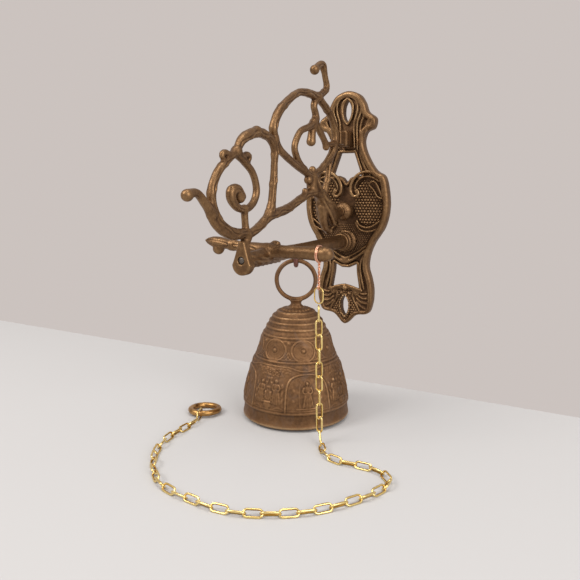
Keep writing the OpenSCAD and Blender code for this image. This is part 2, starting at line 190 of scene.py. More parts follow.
class Shape:
    """Vertices and faces of a piece while it is put together from tubes and rings."""

    def __init__(self):
        self.points, self.faces, self.count = [], [], 0

    def add(self, points, faces):
        self.points.append(np.asarray(points, float))
        self.faces += [tuple(i + self.count for i in f) for f in faces]
        self.count += len(points)

    def grid(self, rows, wrap_rows=False):
        """A closed skin over rows of points that each close on themselves."""
        rows = np.asarray(rows, float)
        m, n = rows.shape[:2]
        faces = []
        for i in range(m if wrap_rows else m - 1):
            for k in range(n):
                a, b = i * n, ((i + 1) % m) * n
                faces.append((a + k, a + (k + 1) % n, b + (k + 1) % n, b + k))
        points = rows.reshape(-1, 3)
        if not wrap_rows:
            points = np.concatenate([points, rows[0].mean(0)[None], rows[-1].mean(0)[None]])
            s, e = m * n, m * n + 1
            for k in range(n):
                faces.append((s, (k + 1) % n, k))
                faces.append((e, (m - 1) * n + k, (m - 1) * n + (k + 1) % n))
        self.add(points, faces)

    def tube(self, path, radius, sides=12, up=(1, 0, 0)):
        """A tube along a path, with rounded ends."""
        path = np.asarray(path, float)
        radius = np.broadcast_to(np.asarray(radius, float), (len(path),))
        tangent = unit(np.gradient(path, axis=0))
        turns = (1.45, 1.15, 0.8, 0.4)
        line = [path[0] - tangent[0] * radius[0] * math.sin(a) for a in turns] + list(path)
        line += [path[-1] + tangent[-1] * radius[-1] * math.sin(a) for a in turns[::-1]]
        r = [radius[0] * math.cos(a) for a in turns] + list(radius)
        r += [radius[-1] * math.cos(a) for a in turns[::-1]]
        line, r = np.array(line), np.array(r)
        _, ups, across = frames(line, up)
        a = np.arange(sides) * 2 * math.pi / sides
        rows = line[:, None] + (r[:, None] * np.cos(a))[..., None] * across[:, None]
        self.grid(rows + (r[:, None] * np.sin(a))[..., None] * ups[:, None])

    def ring(self, path, radius, sides=10, up=(0, 0, 1)):
        """A tube round a closed path."""
        path = np.asarray(path, float)
        up = np.asarray(up, float)
        tangent = unit(np.roll(path, -1, 0) - np.roll(path, 1, 0))
        ups = unit(up - tangent * (tangent @ up)[:, None])
        across = np.cross(tangent, ups)
        a = np.arange(sides) * 2 * math.pi / sides
        r = np.broadcast_to(np.asarray(radius, float), (len(path),))[:, None]
        rows = path[:, None] + (r * np.cos(a))[..., None] * across[:, None]
        self.grid(rows + (r * np.sin(a))[..., None] * ups[:, None], wrap_rows=True)

    def make(self, name, body, slot, material, nodes=(), wear=3):
        points = np.concatenate(self.points)
        return finish_mesh(name, points, self.faces, body, material, nodes, wear)


# ---------------------------------------------------------------- cast shapes
FAR = 6.0


def melt(a, b, k):
    """The lesser of two distances, with a fillet about k wide where they are close."""
    h = np.maximum(k - np.abs(a - b), 0) / k
    return np.minimum(a, b) - h * h * k / 4


class Cast:
    """A distance field over a box, in millimetres, from which one closed skin is drawn."""

    def __init__(self, low, high, step):
        self.step = step
        self.low = np.array(low, float) - 2.5 * step
        self.count = np.ceil((np.array(high, float) - self.low) / step).astype(int) + 3
        self.field = np.full(self.count, FAR, np.float32)

    def part(self, low, high):
        """The cells between two corners, and the coordinates along each side."""
        a = np.clip(np.floor((np.asarray(low) - self.low) / self.step).astype(int), 0, self.count)
        b = np.clip(np.ceil((np.asarray(high) - self.low) / self.step).astype(int) + 1, 0, self.count)
        cut = tuple(slice(i, j) for i, j in zip(a, b))
        sides = [self.low[k] + self.step * np.arange(a[k], b[k]) for k in range(3)]
        return cut, np.meshgrid(*sides, indexing="ij", sparse=True)

    def add(self, cut, distance, fillet):
        here = self.field[cut]
        self.field[cut] = melt(here, distance, fillet) if fillet else np.minimum(here, distance)

    def cut_away(self, cut, distance, fillet=0.0):
        here = self.field[cut]
        self.field[cut] = -melt(-here, distance, fillet) if fillet else np.maximum(here, -distance)

    def strand(self, path, radius, fillet=1.4, flat=1.0, detail=None):
        """A bar along the path. detail(s, side, out) carves it: s runs along it in mm, side is how far round
        it towards +X a spot lies, and out how far towards the outer side, both from -1 to 1."""
        path, at = even(np.asarray(path, float), 2.0)
        radius = np.asarray(radius, float)
        radius = np.interp(np.linspace(0, 1, len(path)), np.linspace(0, 1, radius.size), radius.ravel())
        pad = radius.max() + 2.5
        low, high = path.min(0) - pad, path.max(0) + pad
        cut, _ = self.part(low, high)
        near = np.full([s.stop - s.start for s in cut], FAR, np.float32)
        if detail:
            run, side, out = (np.zeros_like(near) for _ in range(3))
        origin = np.array([s.start for s in cut])
        for a, b, ra, rb, sa, sb in zip(path, path[1:], radius, radius[1:], at, at[1:]):
            reach = max(ra, rb) + 2.2
            inner, (x, y, z) = self.part(np.minimum(a, b) - reach, np.maximum(a, b) + reach)
            inner = tuple(slice(s.start - o, s.stop - o) for s, o in zip(inner, origin))
            ab = b - a
            t = ((x - a[0]) * ab[0] + (y - a[1]) * ab[1] + (z - a[2]) * ab[2]) / (ab @ ab)
            t = np.clip(t, 0, 1)
            dx, dy, dz = (x - a[0] - t * ab[0]) * flat, y - a[1] - t * ab[1], z - a[2] - t * ab[2]
            away = np.sqrt(dx * dx + dy * dy + dz * dz)
            d = away - (ra + t * (rb - ra))
            here = near[inner]
            closer = d < here
            here[closer] = d[closer]
            if detail:
                normal = unit(np.array([0, -ab[2], ab[1]]))
                away = np.maximum(away, 0.3)
                run[inner][closer] = (sa + t * (sb - sa))[closer]
                side[inner][closer] = (dx / away)[closer]
                out[inner][closer] = ((dy * normal[1] + dz * normal[2]) / away)[closer]
        if detail:
            near = near + detail(run, side, out) * (near < 2.5)
        self.add(cut, near, fillet)

    def ball(self, centre, radius, fillet=1.4, stretch=(1, 1, 1)):
        centre, s = np.asarray(centre, float), np.asarray(stretch, float)
        cut, (x, y, z) = self.part(centre - radius * s - 3, centre + radius * s + 3)
        away = np.sqrt(
            ((x - centre[0]) / s[0]) ** 2 + ((y - centre[1]) / s[1]) ** 2 + ((z - centre[2]) / s[2]) ** 2)
        self.add(cut, (away - radius) * s.min(), fillet)

    def skin(self):
        """Vertices in millimetres, and four-sided faces, where the distance is zero."""
        f = self.field
        for axis in range(3):
            np.moveaxis(f, axis, 0)[[0, -1]] = FAR
        solid = f < 0
        n = np.array(f.shape)
        cells = np.zeros(n - 1, np.int8)
        corners = [(i, j, k) for i in (0, 1) for j in (0, 1) for k in (0, 1)]
        for i, j, k in corners:
            cells += solid[i : n[0] - 1 + i, j : n[1] - 1 + j, k : n[2] - 1 + k]
        cell = np.argwhere((cells > 0) & (cells < 8))
        number = np.full(n - 1, -1, np.int64)
        number[tuple(cell.T)] = np.arange(len(cell))
        total, hits = np.zeros((len(cell), 3)), np.zeros(len(cell))
        for axis in range(3):
            step = np.eye(3, dtype=int)[axis]
            for corner in (c for c in corners if c[axis] == 0):
                start = cell + corner
                a, b = f[tuple(start.T)], f[tuple((start + step).T)]
                hit = (a < 0) != (b < 0)
                t = np.where(hit, a / np.where(hit, a - b, 1), 0)
                place = np.array(corner) + t[:, None] * step
                total[hit] += place[hit]
                hits += hit
        points = self.low + self.step * (cell + total / hits[:, None])
        faces = []
        for axis in range(3):
            u, v = (axis + 1) % 3, (axis + 2) % 3
            a = np.moveaxis(solid, axis, 0)
            edge = np.argwhere(a[:-1] != a[1:])
            order = [axis] + [k for k in range(3) if k != axis]
            spot = np.empty_like(edge)
            spot[:, order] = edge
            eu, ev = np.eye(3, dtype=int)[u], np.eye(3, dtype=int)[v]
            ring = np.stack([number[tuple((spot - d).T)] for d in (eu * 0, eu, eu + ev, ev)], 1)
            outward = solid[tuple(spot.T)]
            ring[~outward] = ring[~outward][:, ::-1]
            faces.append(ring)
        return points, np.concatenate(faces)

    def make(self, name, body, slot, material, nodes=(), rounds=2, swell=0.0, seed=1, wear=8, shade=None):
        """The skin as a piece, evened a little, with the slight unevenness of a sand casting."""
        points, faces = self.skin()
        edges = np.concatenate([faces[:, [0, 1]], faces[:, [1, 2]], faces[:, [2, 3]], faces[:, [3, 0]]])
        edges = np.unique(np.sort(edges, axis=1), axis=0)
        points = spread(points, edges, rounds, 0.5)
        if swell:
            across = (unit(points[faces[:, 2]] - points[faces[:, 0]]),
                      unit(points[faces[:, 3]] - points[faces[:, 1]]))
            flat = np.cross(*across)
            normal = np.stack(
                [np.bincount(faces.ravel(), np.repeat(flat[:, k], 4), len(points)) for k in range(3)], 1)
            points = points + unit(normal) * (swell * ripple(points, 4.0, seed))[:, None]
        return finish_mesh(name, points * MM, faces, body, material, nodes, wear, shade)


# ---------------------------------------------------------------- materials
def new_material(name):
    m = bpy.data.materials.new(name)
    m.use_nodes = True
    nodes, links = m.node_tree.nodes, m.node_tree.links
    return m, nodes, links, nodes["Principled BSDF"]


def link_noise(nodes, links, coords, scale, detail=3.0, distortion=0.0):
    n = nodes.new("ShaderNodeTexNoise")
    n.inputs["Scale"].default_value = scale
    n.inputs["Detail"].default_value = detail
    n.inputs["Distortion"].default_value = distortion
    links.new(coords, n.inputs["Vector"])
    return n.outputs["Fac"]


def remap(nodes, links, value, low, high, to_low, to_high):
    n = nodes.new("ShaderNodeMapRange")
    for k, v in (("From Min", low), ("From Max", high), ("To Min", to_low), ("To Max", to_high)):
        n.inputs[k].default_value = v
    links.new(value, n.inputs["Value"])
    return n.outputs["Result"]


def combine(nodes, links, operation, a, b):
    n = nodes.new("ShaderNodeMath")
    n.operation = operation
    for socket, v in zip(n.inputs, (a, b)):
        if isinstance(v, (int, float)):
            socket.default_value = v
        else:
            links.new(v, socket)
    return n.outputs[0]


def ramp(nodes, links, value, stops):
    n = nodes.new("ShaderNodeValToRGB")
    while len(n.color_ramp.elements) < len(stops):
        n.color_ramp.elements.new(0.5)
    for e, (at, colour) in zip(n.color_ramp.elements, stops):
        e.position = at
        e.color = (*colour, 1)
    links.new(value, n.inputs["Fac"])
    return n.outputs["Color"]


def tint(nodes, links, colour, other, share):
    """The colour, part of it replaced by another where share is high."""
    n = nodes.new("ShaderNodeMix")
    n.data_type = "RGBA"
    links.new(share, n.inputs["Factor"])
    links.new(colour, n.inputs[6])
    n.inputs[7].default_value = (*other, 1)
    return n.outputs[2]


def metal(name, colours, stain, stain_share, rough, span=0.3, shine=1.0, depth=0.12, blotch=1.0):
    """Worn metal. colours run from the recesses to the rubbed edges over span millimetres of relief;
    stain is a tarnish that lies in patches; rough is the roughness in the recesses and on the edges."""
    m, nodes, links, shader = new_material(name)
    coords = nodes.new("ShaderNodeTexCoord").outputs["Object"]
    worn = nodes.new("ShaderNodeAttribute")
    worn.attribute_name = "wear"
    relief = remap(nodes, links, worn.outputs["Fac"], -span, span, 0, 1)
    patches = link_noise(nodes, links, coords, 55, 4, 0.6)
    mottle = link_noise(nodes, links, coords, 420, 4)
    uneven = remap(nodes, links, patches, 0.25, 0.75, -0.16 * blotch, 0.16 * blotch)
    speck = remap(nodes, links, mottle, 0.3, 0.7, -0.09, 0.09)
    level = combine(nodes, links, "ADD", combine(nodes, links, "ADD", relief, uneven), speck)
    colour = ramp(nodes, links, level, colours)
    share = remap(nodes, links, link_noise(nodes, links, coords, 90, 5, 1.0), 0.52, 0.72, 0, stain_share)
    links.new(tint(nodes, links, colour, stain, share), shader.inputs["Base Color"])
    roughness = remap(nodes, links, level, 0.2, 0.85, rough[0], rough[1])
    links.new(roughness, shader.inputs["Roughness"])
    shader.inputs["Metallic"].default_value = shine
    height = combine(nodes, links, "ADD", link_noise(nodes, links, coords, 4000, 2), combine(
        nodes, links, "MULTIPLY", link_noise(nodes, links, coords, 380, 3), 1.6))
    bump = nodes.new("ShaderNodeBump")
    bump.inputs["Strength"].default_value = 0.55
    bump.inputs["Distance"].default_value = depth * MM
    links.new(height, bump.inputs["Height"])
    links.new(bump.outputs["Normal"], shader.inputs["Normal"])
    return m


ANTIQUE = metal(
    "antique_bronze", [(0.0, (0.045, 0.026, 0.015)), (0.3, (0.1, 0.053, 0.027)),
                       (0.52, (0.178, 0.098, 0.045)),
                       (0.76, (0.28, 0.165, 0.077)), (1.0, (0.49, 0.325, 0.165))],
    (0.1, 0.06, 0.032), 0.4, (0.56, 0.33), span=0.38, shine=0.9, depth=0.06, blotch=0.7)
BELL = metal(
    "bell_bronze", [(0.0, (0.045, 0.023, 0.012)), (0.3, (0.115, 0.06, 0.028)), (0.52, (0.19, 0.098, 0.044)),
                    (0.78, (0.26, 0.142, 0.064)), (1.0, (0.42, 0.265, 0.14))],
    (0.17, 0.115, 0.085), 0.45, (0.66, 0.42), span=0.42, shine=0.82, depth=0.12)
GOLD = metal(
    "chain_gold", [(0.0, (0.26, 0.13, 0.02)), (0.4, (0.56, 0.33, 0.07)), (0.7, (0.78, 0.52, 0.15)),
                   (1.0, (0.92, 0.72, 0.3))],
    (0.42, 0.22, 0.05), 0.4, (0.36, 0.22), span=0.12, depth=0.03)
BRASS = metal(
    "ring_brass", [(0.0, (0.06, 0.024, 0.008)), (0.4, (0.17, 0.074, 0.021)), (0.65, (0.28, 0.135, 0.04)),
                   (1.0, (0.5, 0.29, 0.105))],
    (0.11, 0.046, 0.016), 0.75, (0.56, 0.34), span=0.15, depth=0.06, blotch=2.2)
COPPER = metal(
    "copper_wire", [(0.0, (0.14, 0.035, 0.016)), (0.4, (0.36, 0.115, 0.055)), (0.7, (0.56, 0.22, 0.115)),
                    (1.0, (0.82, 0.45, 0.3))],
    (0.2, 0.055, 0.03), 0.5, (0.42, 0.28), span=0.1, depth=0.03)
RUST = metal(
    "hook_iron", [(0.0, (0.025, 0.007, 0.006)), (0.4, (0.065, 0.018, 0.014)), (0.7, (0.11, 0.032, 0.024)),
                  (1.0, (0.19, 0.08, 0.06))],
    (0.15, 0.045, 0.022), 0.6, (0.75, 0.5), span=0.1, shine=0.5, depth=0.15)
IRON = metal(
    "clapper_iron", [(0.0, (0.03, 0.026, 0.024)), (0.4, (0.09, 0.075, 0.065)), (0.7, (0.17, 0.15, 0.13)),
                     (1.0, (0.33, 0.3, 0.27))],
    (0.13, 0.07, 0.04), 0.55, (0.7, 0.45), span=0.15, shine=0.8, depth=0.2)
STEEL = metal(
    "pin_steel", [(0.0, (0.012, 0.01, 0.009)), (0.4, (0.03, 0.026, 0.022)), (0.7, (0.06, 0.052, 0.045)),
                  (1.0, (0.2, 0.18, 0.16))],
    (0.05, 0.03, 0.018), 0.5, (0.5, 0.34), span=0.14, depth=0.12)


# ---------------------------------------------------------------- pull chain
# The same route as the CAD tubes: down from the wide link, over a short arc and along the table.
TABLE_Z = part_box("chain_run")[0][2]
CHAIN_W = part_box("chain_run")[1][2] - TABLE_Z
CHAIN_Z = TABLE_Z + CHAIN_W / 2
TIE_AT = np.array([46.0, -159.0, 0.0]) * MM
CHAIN_TOP = TIE_AT + [0, 0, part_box("chain_drop")[1][2]]
BEND = 11 * MM
LEAN = np.array([0.5, -0.87, 0])
LAY = unit(np.array([10.0, -14.0, 0.0]))
RUN = [
    (62, -179), (70, -184.5), (79, -186), (88, -185), (97, -184.5), (105, -185.5), (113, -189), (119, -196),
    (120, -206), (116.5, -217), (111, -228), (103, -241), (94, -253), (82, -264), (68, -273), (52, -280),
    (35, -283), (17, -282), (0, -280), (-16, -275), (-31, -264), (-44, -250), (-53, -236), (-59, -221),
    (-61.5, -205), (-61.5, -190), (-62.8, -174.6),
]


def chain_route():
    foot = np.array([48 * MM, -160 * MM, CHAIN_Z + BEND])
    drop = [CHAIN_TOP + (foot - CHAIN_TOP) * i / 10 for i in range(11)]
    turns = np.radians(range(15, 91, 15))
    arc = [foot + LAY * BEND * (1 - math.cos(a)) - np.array([0, 0, BEND * math.sin(a)]) for a in turns]
    flat = [arc[-1] + 4 * MM * LAY] + [np.array([x * MM, y * MM, CHAIN_Z]) for x, y in RUN]
    return np.array(drop + arc + list(smooth(np.array([arc[-1]] + flat), 3)[1:]))


def stadium(length, width, n=8):
    """The middle line of a link: two straight sides and two round ends, in its own X and Y."""
    r, h = width / 2, (length - width) / 2
    ends = []
    for s in (1, -1):
        a = np.linspace(-math.pi / 2, math.pi / 2, n)
        ends.append(np.stack([s * (h + r * np.cos(a)), s * r * np.sin(a)], axis=1))
    return np.concatenate(ends)


def link_points(centre, along, wide, length, width, n=8):
    s = stadium(length, width, n)
    return centre + s[:, :1] * along + s[:, 1:] * wide


def make_chain():
    """Hanging links turn a third of the way round from each to the next; on the table they lean in turn."""
    wire, length, lead, tail = 0.78 * MM, 14 * MM, 1.2 * MM, 1.0 * MM
    path = chain_route()
    fine, at = even(path, 0.5 * MM)
    total = at[-1]
    rng = np.random.default_rng(7)
    shape = Shape()
    count = int(round((total - lead - tail) / (11.2 * MM)))
    pitch = (total - lead - tail) / count
    half = int(4.6 * MM / (at[1] - at[0]))
    flat_link = True
    for i in range(count):
        s = lead + pitch * (i + 0.5)
        k = int(np.clip(np.searchsorted(at, s), half, len(fine) - 1 - half))
        a, b = fine[k - half], fine[k + half]
        along = unit(b - a)
        centre = (a + b + 2 * fine[k]) / 4
        level = centre[2] < CHAIN_Z + 0.6 * MM
        if level:
            along = unit(along * [1, 1, 0])
            wide_flat, wide_up = np.cross([0, 0, 1.0], along), np.array([0, 0, 1.0])
            # The links lie over to one side and the other in turn
            side = -1.0 if np.dot(wide_flat, LEAN) > 0 else 1.0
        else:
            wide_flat = unit(np.array([0.883, 0.469, 0]) - along * np.dot([0.883, 0.469, 0], along))
            wide_up = np.cross(along, wide_flat)
        roll = math.radians(rng.uniform(-8, 8) + 90 + 60 * i)
        if level:
            roll = side * math.radians((50 if flat_link else -44) + rng.uniform(-8, 8))
        wide = math.cos(roll) * wide_flat + math.sin(roll) * wide_up
        if level:
            reach = abs(math.sin(roll)) * (CHAIN_W / 2 - wire) + wire
            centre = np.array([centre[0], centre[1], TABLE_Z + reach])
        line = link_points(centre, along, wide, length - 2 * wire, CHAIN_W - 2 * wire)
        shape.ring(line, wire * (1 + rng.uniform(-0.03, 0.03)), 9, up=np.cross(along, wide))
        flat_link = not flat_link
    chain = shape.make("pull_chain", None, "chain_gold", GOLD, ["chain_drop", "chain_run"])
    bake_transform(chain)
    return chain, path, total


def make_end_link():
    """The larger pale link that joins the chain to the ring."""
    low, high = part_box("chain_end_link")
    middle = (np.array(low) + high) / 2
    along = unit(np.array([math.cos(math.radians(-70)), math.sin(math.radians(-70)), 0]))
    shape = Shape()
    wire = 0.7 * MM
    line = link_points(middle, along, np.array([0, 0, 1.0]), 15.5 * MM - 2 * wire, 9.4 * MM - 2 * wire, 12)
    shape.ring(line, wire, 12, up=np.cross(along, [0, 0, 1.0]))
    return shape.make("end_link", "wall_bracket", "chain_gold", GOLD, ["chain_end_link"])


def make_pull_ring():
    """A split ring of round wire whose cut ends nearly meet."""
    low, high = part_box("pull_ring")
    radius, wire = 12.4 * MM, 2.6 * MM
    middle = np.array([-71 * MM, -152 * MM, (low[2] + high[2]) / 2])
    turn, tilt = math.radians(-70), math.radians(3.7)
    out = np.array([math.cos(turn) * math.cos(tilt), math.sin(turn) * math.cos(tilt), math.sin(tilt)])
    across = np.array([-math.sin(turn), math.cos(turn), 0])
    split = math.radians(105)
    a = np.linspace(split + 0.05, split + 2 * math.pi - 0.05, 120)[:, None]
    path = middle + radius * (np.cos(a) * out + np.sin(a) * across)
    shape = Shape()
    shape.tube(path, wire * (1 - 0.015 * np.abs(np.sin(a[:, 0] * 3 + 1))), 20, up=np.cross(out, across))
    return shape.make("split_ring", "wall_bracket", "ring_brass", BRASS, ["pull_ring"])


chain, chain_path, chain_length = make_chain()
end_link, split_ring = make_end_link(), make_pull_ring()


# ---------------------------------------------------------------- scroll bracket
SHAFT_Z, BEAM_T, BEAM_Z, EYE_T = -30.0, 159.0, -26.0, 193.0
LEAF_RISE = 0.098
CAST_STEP = 0.52


def in_plane(points):
    """Points given as distance from the wall and height, in the bracket's plane."""
    return [(0.0, -t, z) for t, z in points]


def leaf_wrap(s, side, out):
    """Long leaves wrapped round a bar: a swelling at each tip, and creases that drift along each face."""
    phase = np.mod(s / 23.0 + 0.12 * out, 1.0)
    lip = -0.4 * np.exp(-(((phase - 0.84) / 0.09) ** 2)) * np.clip(0.2 + np.abs(side), 0, 1)
    face = np.abs(side) ** 0.5
    drift = 0.32 * np.sin(2 * math.pi * s / 23.0)
    crease = 0.95 * np.exp(-(((out - 0.1 - drift) / 0.17) ** 2)) * np.clip(
        np.sin(math.pi * phase) * 1.9, 0.3, 1)
    second = 0.55 * np.exp(-(((out + 0.5 - 0.5 * drift) / 0.13) ** 2)) * np.clip(
        np.cos(math.pi * phase) + 0.4, 0, 1)
    return lip + (crease + second) * face


def plain_groove(s, side, out):
    """A channel along each face of a bar."""
    swell = 0.65 + 0.35 * np.sin(2 * math.pi * s / 31.0 + 1.0)
    return 0.85 * np.exp(-(((out - 0.12) / 0.2) ** 2)) * np.abs(side) ** 0.7 * swell


STRANDS = [
    # The finial, the upper sweep, and the bow that faces the plate
    ([(78, 124), (64, 131), (57, 121), (55, 111), (72, 102)], (3.3, 2.9, 2.7, 3.0, 3.3), leaf_wrap),
    ([(72, 102), (92, 103), (111, 100), (137, 85), (148, 71), (146, 62)],
     (3.6, 3.1, 2.7, 3.0, 3.3, 2.8), leaf_wrap),
    ([(146, 62), (138, 53), (114, 43), (95, 37), (81, 33)], (2.7, 2.7, 2.9, 3.2), plain_groove),
    ([(72, 102), (58, 96), (43, 87), (34, 74), (37, 60), (52, 47), (66, 39), (81, 33)],
     (3.3, 2.9, 2.8, 3.1, 3.0, 2.7, 2.8, 3.3), leaf_wrap),
    ([(37, 60), (46, 45), (50, 30)], (2.8, 2.4, 2.4), plain_groove),
    # The small scroll inside it
    ([(72, 102), (79, 94), (75, 84), (86, 76), (104, 70), (114, 57), (108, 46), (98, 39)],
     (3.0, 2.6, 2.9, 2.7, 2.5, 2.5, 2.6, 2.8), plain_groove),
    ([(76, 83), (67, 72), (52, 63), (38, 64)], (2.6, 2.2, 2.2, 2.6), plain_groove),
    ([(79, 80), (82, 72), (84, 63)], (3.4, 3.0, 3.5), None),
    ([(67, 74), (60, 69), (54, 60)], (2.2, 2.0, 2.6), None),
    # The arch over the upright strut
    ([(200, 49), (192, 58), (174, 64), (156, 62), (147, 54), (147, 44), (149, 26), (152, 10),
      (157, 2)], (2.6, 3.5, 3.7, 3.2, 2.9, 2.6, 2.7, 2.9, 3.1), leaf_wrap),
    # The outer loop, the leaf on its front, and its curled tip
    ([(200, 49), (212, 42), (223, 34), (230, 23), (230, 12), (223, 0), (208, -8), (189, -10)],
     (2.5, 2.6, 2.8, 2.9, 3.1, 3.4, 3.4, 3.2), leaf_wrap),
    ([(236, 12), (232, 3), (223, -5), (209, -11), (196, -12.5)], (1.6, 2.2, 2.5, 2.3, 1.5), None),
    ([(231, 6), (238, 13), (247, 20), (257, 19)], (3.2, 2.8, 2.5, 3.2), None),
    # The collar's two horns
    ([(200, 49), (208, 46), (214, 47.5), (218, 46), (216.6, 43.4)], (3.0, 2.4, 2.2, 2.1, 1.6), None),
    ([(200, 49), (193, 46), (187, 47.4), (183.4, 46), (184.4, 43)], (3.0, 2.4, 2.2, 2.1, 1.6), None),
    # The inner spiral on its stem
    ([(198, 46), (190, 42), (179, 34), (174, 23), (177, 14), (187, 8), (199, 9), (207, 15),
      (207, 21), (201, 22),
      (197, 17)], (2.6, 2.5, 2.4, 2.4, 2.5, 2.5, 2.5, 2.7, 3.1, 3.7, 4.2), plain_groove),
    ([(191, 8), (190, -3), (188, -14)], (2.4, 2.3, 3.0), None),
    # The lower arc that runs from the eye to the knot
    ([(187, -12), (172, -7), (158, 0), (146, 3), (127, 6), (99, 15), (81, 20.4)],
     (3.0, 3.1, 3.5, 3.6, 3.2, 3.2, 3.6), leaf_wrap),
    # The neck over the eye
    ([(188, -12), (191, -18), (193, -22)], (3.4, 3.2, 3.4), None),
]
KNOBS = [
    (78, 124, 4.1), (72, 102, 4.3), (147, 60, 3.8), (75.5, 83.5, 3.2), (98, 39, 3.4),
    (37, 62, 3.4), (152.5, 8.6, 3.4),
    (189, -11, 4.0), (191, 8, 3.1), (197, 17, 4.3), (231, 5, 3.4), (50, 30, 3.1),
    (173, 65, 4.0), (256.6, 18.4, 3.9),
    (200, 49, 3.9), (89, 30, 3.8), (73, 31, 4.1), (76, 24, 4.6), (84, 63, 3.5), (54, 60, 2.7), (81, 39, 3.2),
    (95, 20.5, 2.6),
]
BULB = [(82, 27), (80, 21), (66, 18), (52, 6), (40, -4), (31, -3), (24, -1)]


def add_bulb(cast):
    """The leafy bulb: ribs fanned over a thick core, with curled lips beneath."""
    core = [(81, 32)] + BULB
    cast.strand(in_plane(core), (5.0, 5.0, 5.0, 5.8, 7.9, 7.3, 5.6, 4.3), 2.5)
    for x in (-6.3, -3.2, 0.0, 3.2, 6.3):
        reach = 1 - abs(x) / 16
        rib = [(x * 0.35, -72, 27), (x * 0.8, -63, 22 * reach), (x, -52, 14.6 * reach),
               (x, -42, 6 * reach), (x * 0.8, -33, 4)]
        cast.strand(smooth(rib, 4), (1.2, 1.7, 1.9, 1.8, 1.1), 0.45)
        belly = [(x * 0.5, -64, 11), (x, -56, -1), (x * 1.02, -47, -10.5), (x * 0.8, -38, -12)]
        cast.strand(smooth(belly, 4), (1.3, 1.9, 1.8, 1.1), 0.45)
    cast.strand(in_plane([(60, 5), (58, -8), (54, -14), (47, -17)]), (5.0, 4.2, 3.4, 3.0), 1.6)
    cast.ball((0, -47, -17), 3.3, 1.0, (1.3, 1, 1))
    cast.strand(in_plane([(50, 30), (54, 24), (57, 16)]), (2.5, 3.1, 3.8), 1.4)
    for x in (-1, 1):
        curl = [(x * 4.5, -80, 31), (x * 5.6, -77, 24), (x * 4.6, -71, 20), (x * 3.4, -75, 25)]
        cast.strand(smooth(curl, 4), (1.2, 1.9, 1.8, 1.0), 0.7)


def add_eye(cast):
    """The teardrop: a round cone across the wall's plane, with softened edges and the pin's hole."""
    cut, (x, y, z) = cast.part((-10, -199, -43), (10, -187, -14))
    t = np.clip((z + 33) / 15, 0, 1)
    across = np.sqrt(x * x + (z + 33 - 15 * t) ** 2) - (8.2 - 5.1 * t**0.8)
    deep = np.abs(y + EYE_T) - 4.0 + 0.5 * t
    soft = 1.6
    a, b = np.maximum(across + soft, 0), np.maximum(deep + soft, 0)
    body = np.sqrt(a * a + b * b) + np.minimum(np.maximum(across + soft, deep + soft), 0) - soft
    cast.add(cut, body, 1.6)
    hole = np.sqrt(x * x + (z - SHAFT_Z) ** 2) - 2.7 - 0.7 * np.exp(-np.abs(np.abs(y + EYE_T) - 4.0) / 0.5)
    cast.cut_away(cut, hole + 0 * y, 0.5)


def make_bracket():
    cast = Cast((-9.5, -263, -43), (9.5, -20, 136), CAST_STEP)
    for points, radius, detail in STRANDS:
        thick = np.asarray(radius) * (1.0 if points[0] == (78, 124) else 1.09)
        cast.strand(smooth(in_plane(points), 8), thick, 1.5, flat=0.94, detail=detail)
    for t, z, r in KNOBS:
        cast.ball((0, -t, z), r, 1.4)
    add_bulb(cast)
    add_eye(cast)
    # Flats against the lug and the stud
    for low, high in (((-10, -31.5, 62), (10, -18, 78)), ((-12, -22, -12), (12, -10, 12))):
        cut, (x, y, z) = cast.part(low, high)
        cast.cut_away(cut, np.maximum(low[1] - y, y - high[1]) + 0 * x + 0 * z)
    nodes = ["scroll_bow", "scroll_arch", "scroll_loop", "bracket_eye"]
    return cast.make("scroll_casting", "wall_bracket", "antique_bronze", ANTIQUE, nodes, 1, 0.06, 3)


make_bracket()


# ---------------------------------------------------------------- rocker
def turned(cast, place, profile, fillet, detail=None):
    """A body turned about an axis along Y through place; profile is [radius, distance from the wall]."""
    reach = max(r for r, _ in profile) + 3
    t = [q[1] for q in profile]
    cut, (x, y, z) = cast.part((place[0] - reach, -max(t) - 3, place[1] - reach),
                               (place[0] + reach, 3 - min(t), place[1] + reach))
    across = np.sqrt((x - place[0]) ** 2 + (z - place[1]) ** 2)
    radius = np.interp(-y, t, [q[0] for q in profile])
    slope = np.abs(np.gradient(radius, axis=1)) / cast.step if radius.shape[1] > 2 else 0
    d = np.maximum((across - radius) / np.sqrt(1 + np.minimum(slope, 2.0) ** 2),
                   np.maximum(min(t) + y, -y - max(t)))
    if detail:
        turn = np.arctan2(z - place[1], x - place[0])
        d = d + detail(turn + 0 * y, -y + 0 * x * z, across + 0 * y)
    cast.add(cut, d, fillet)


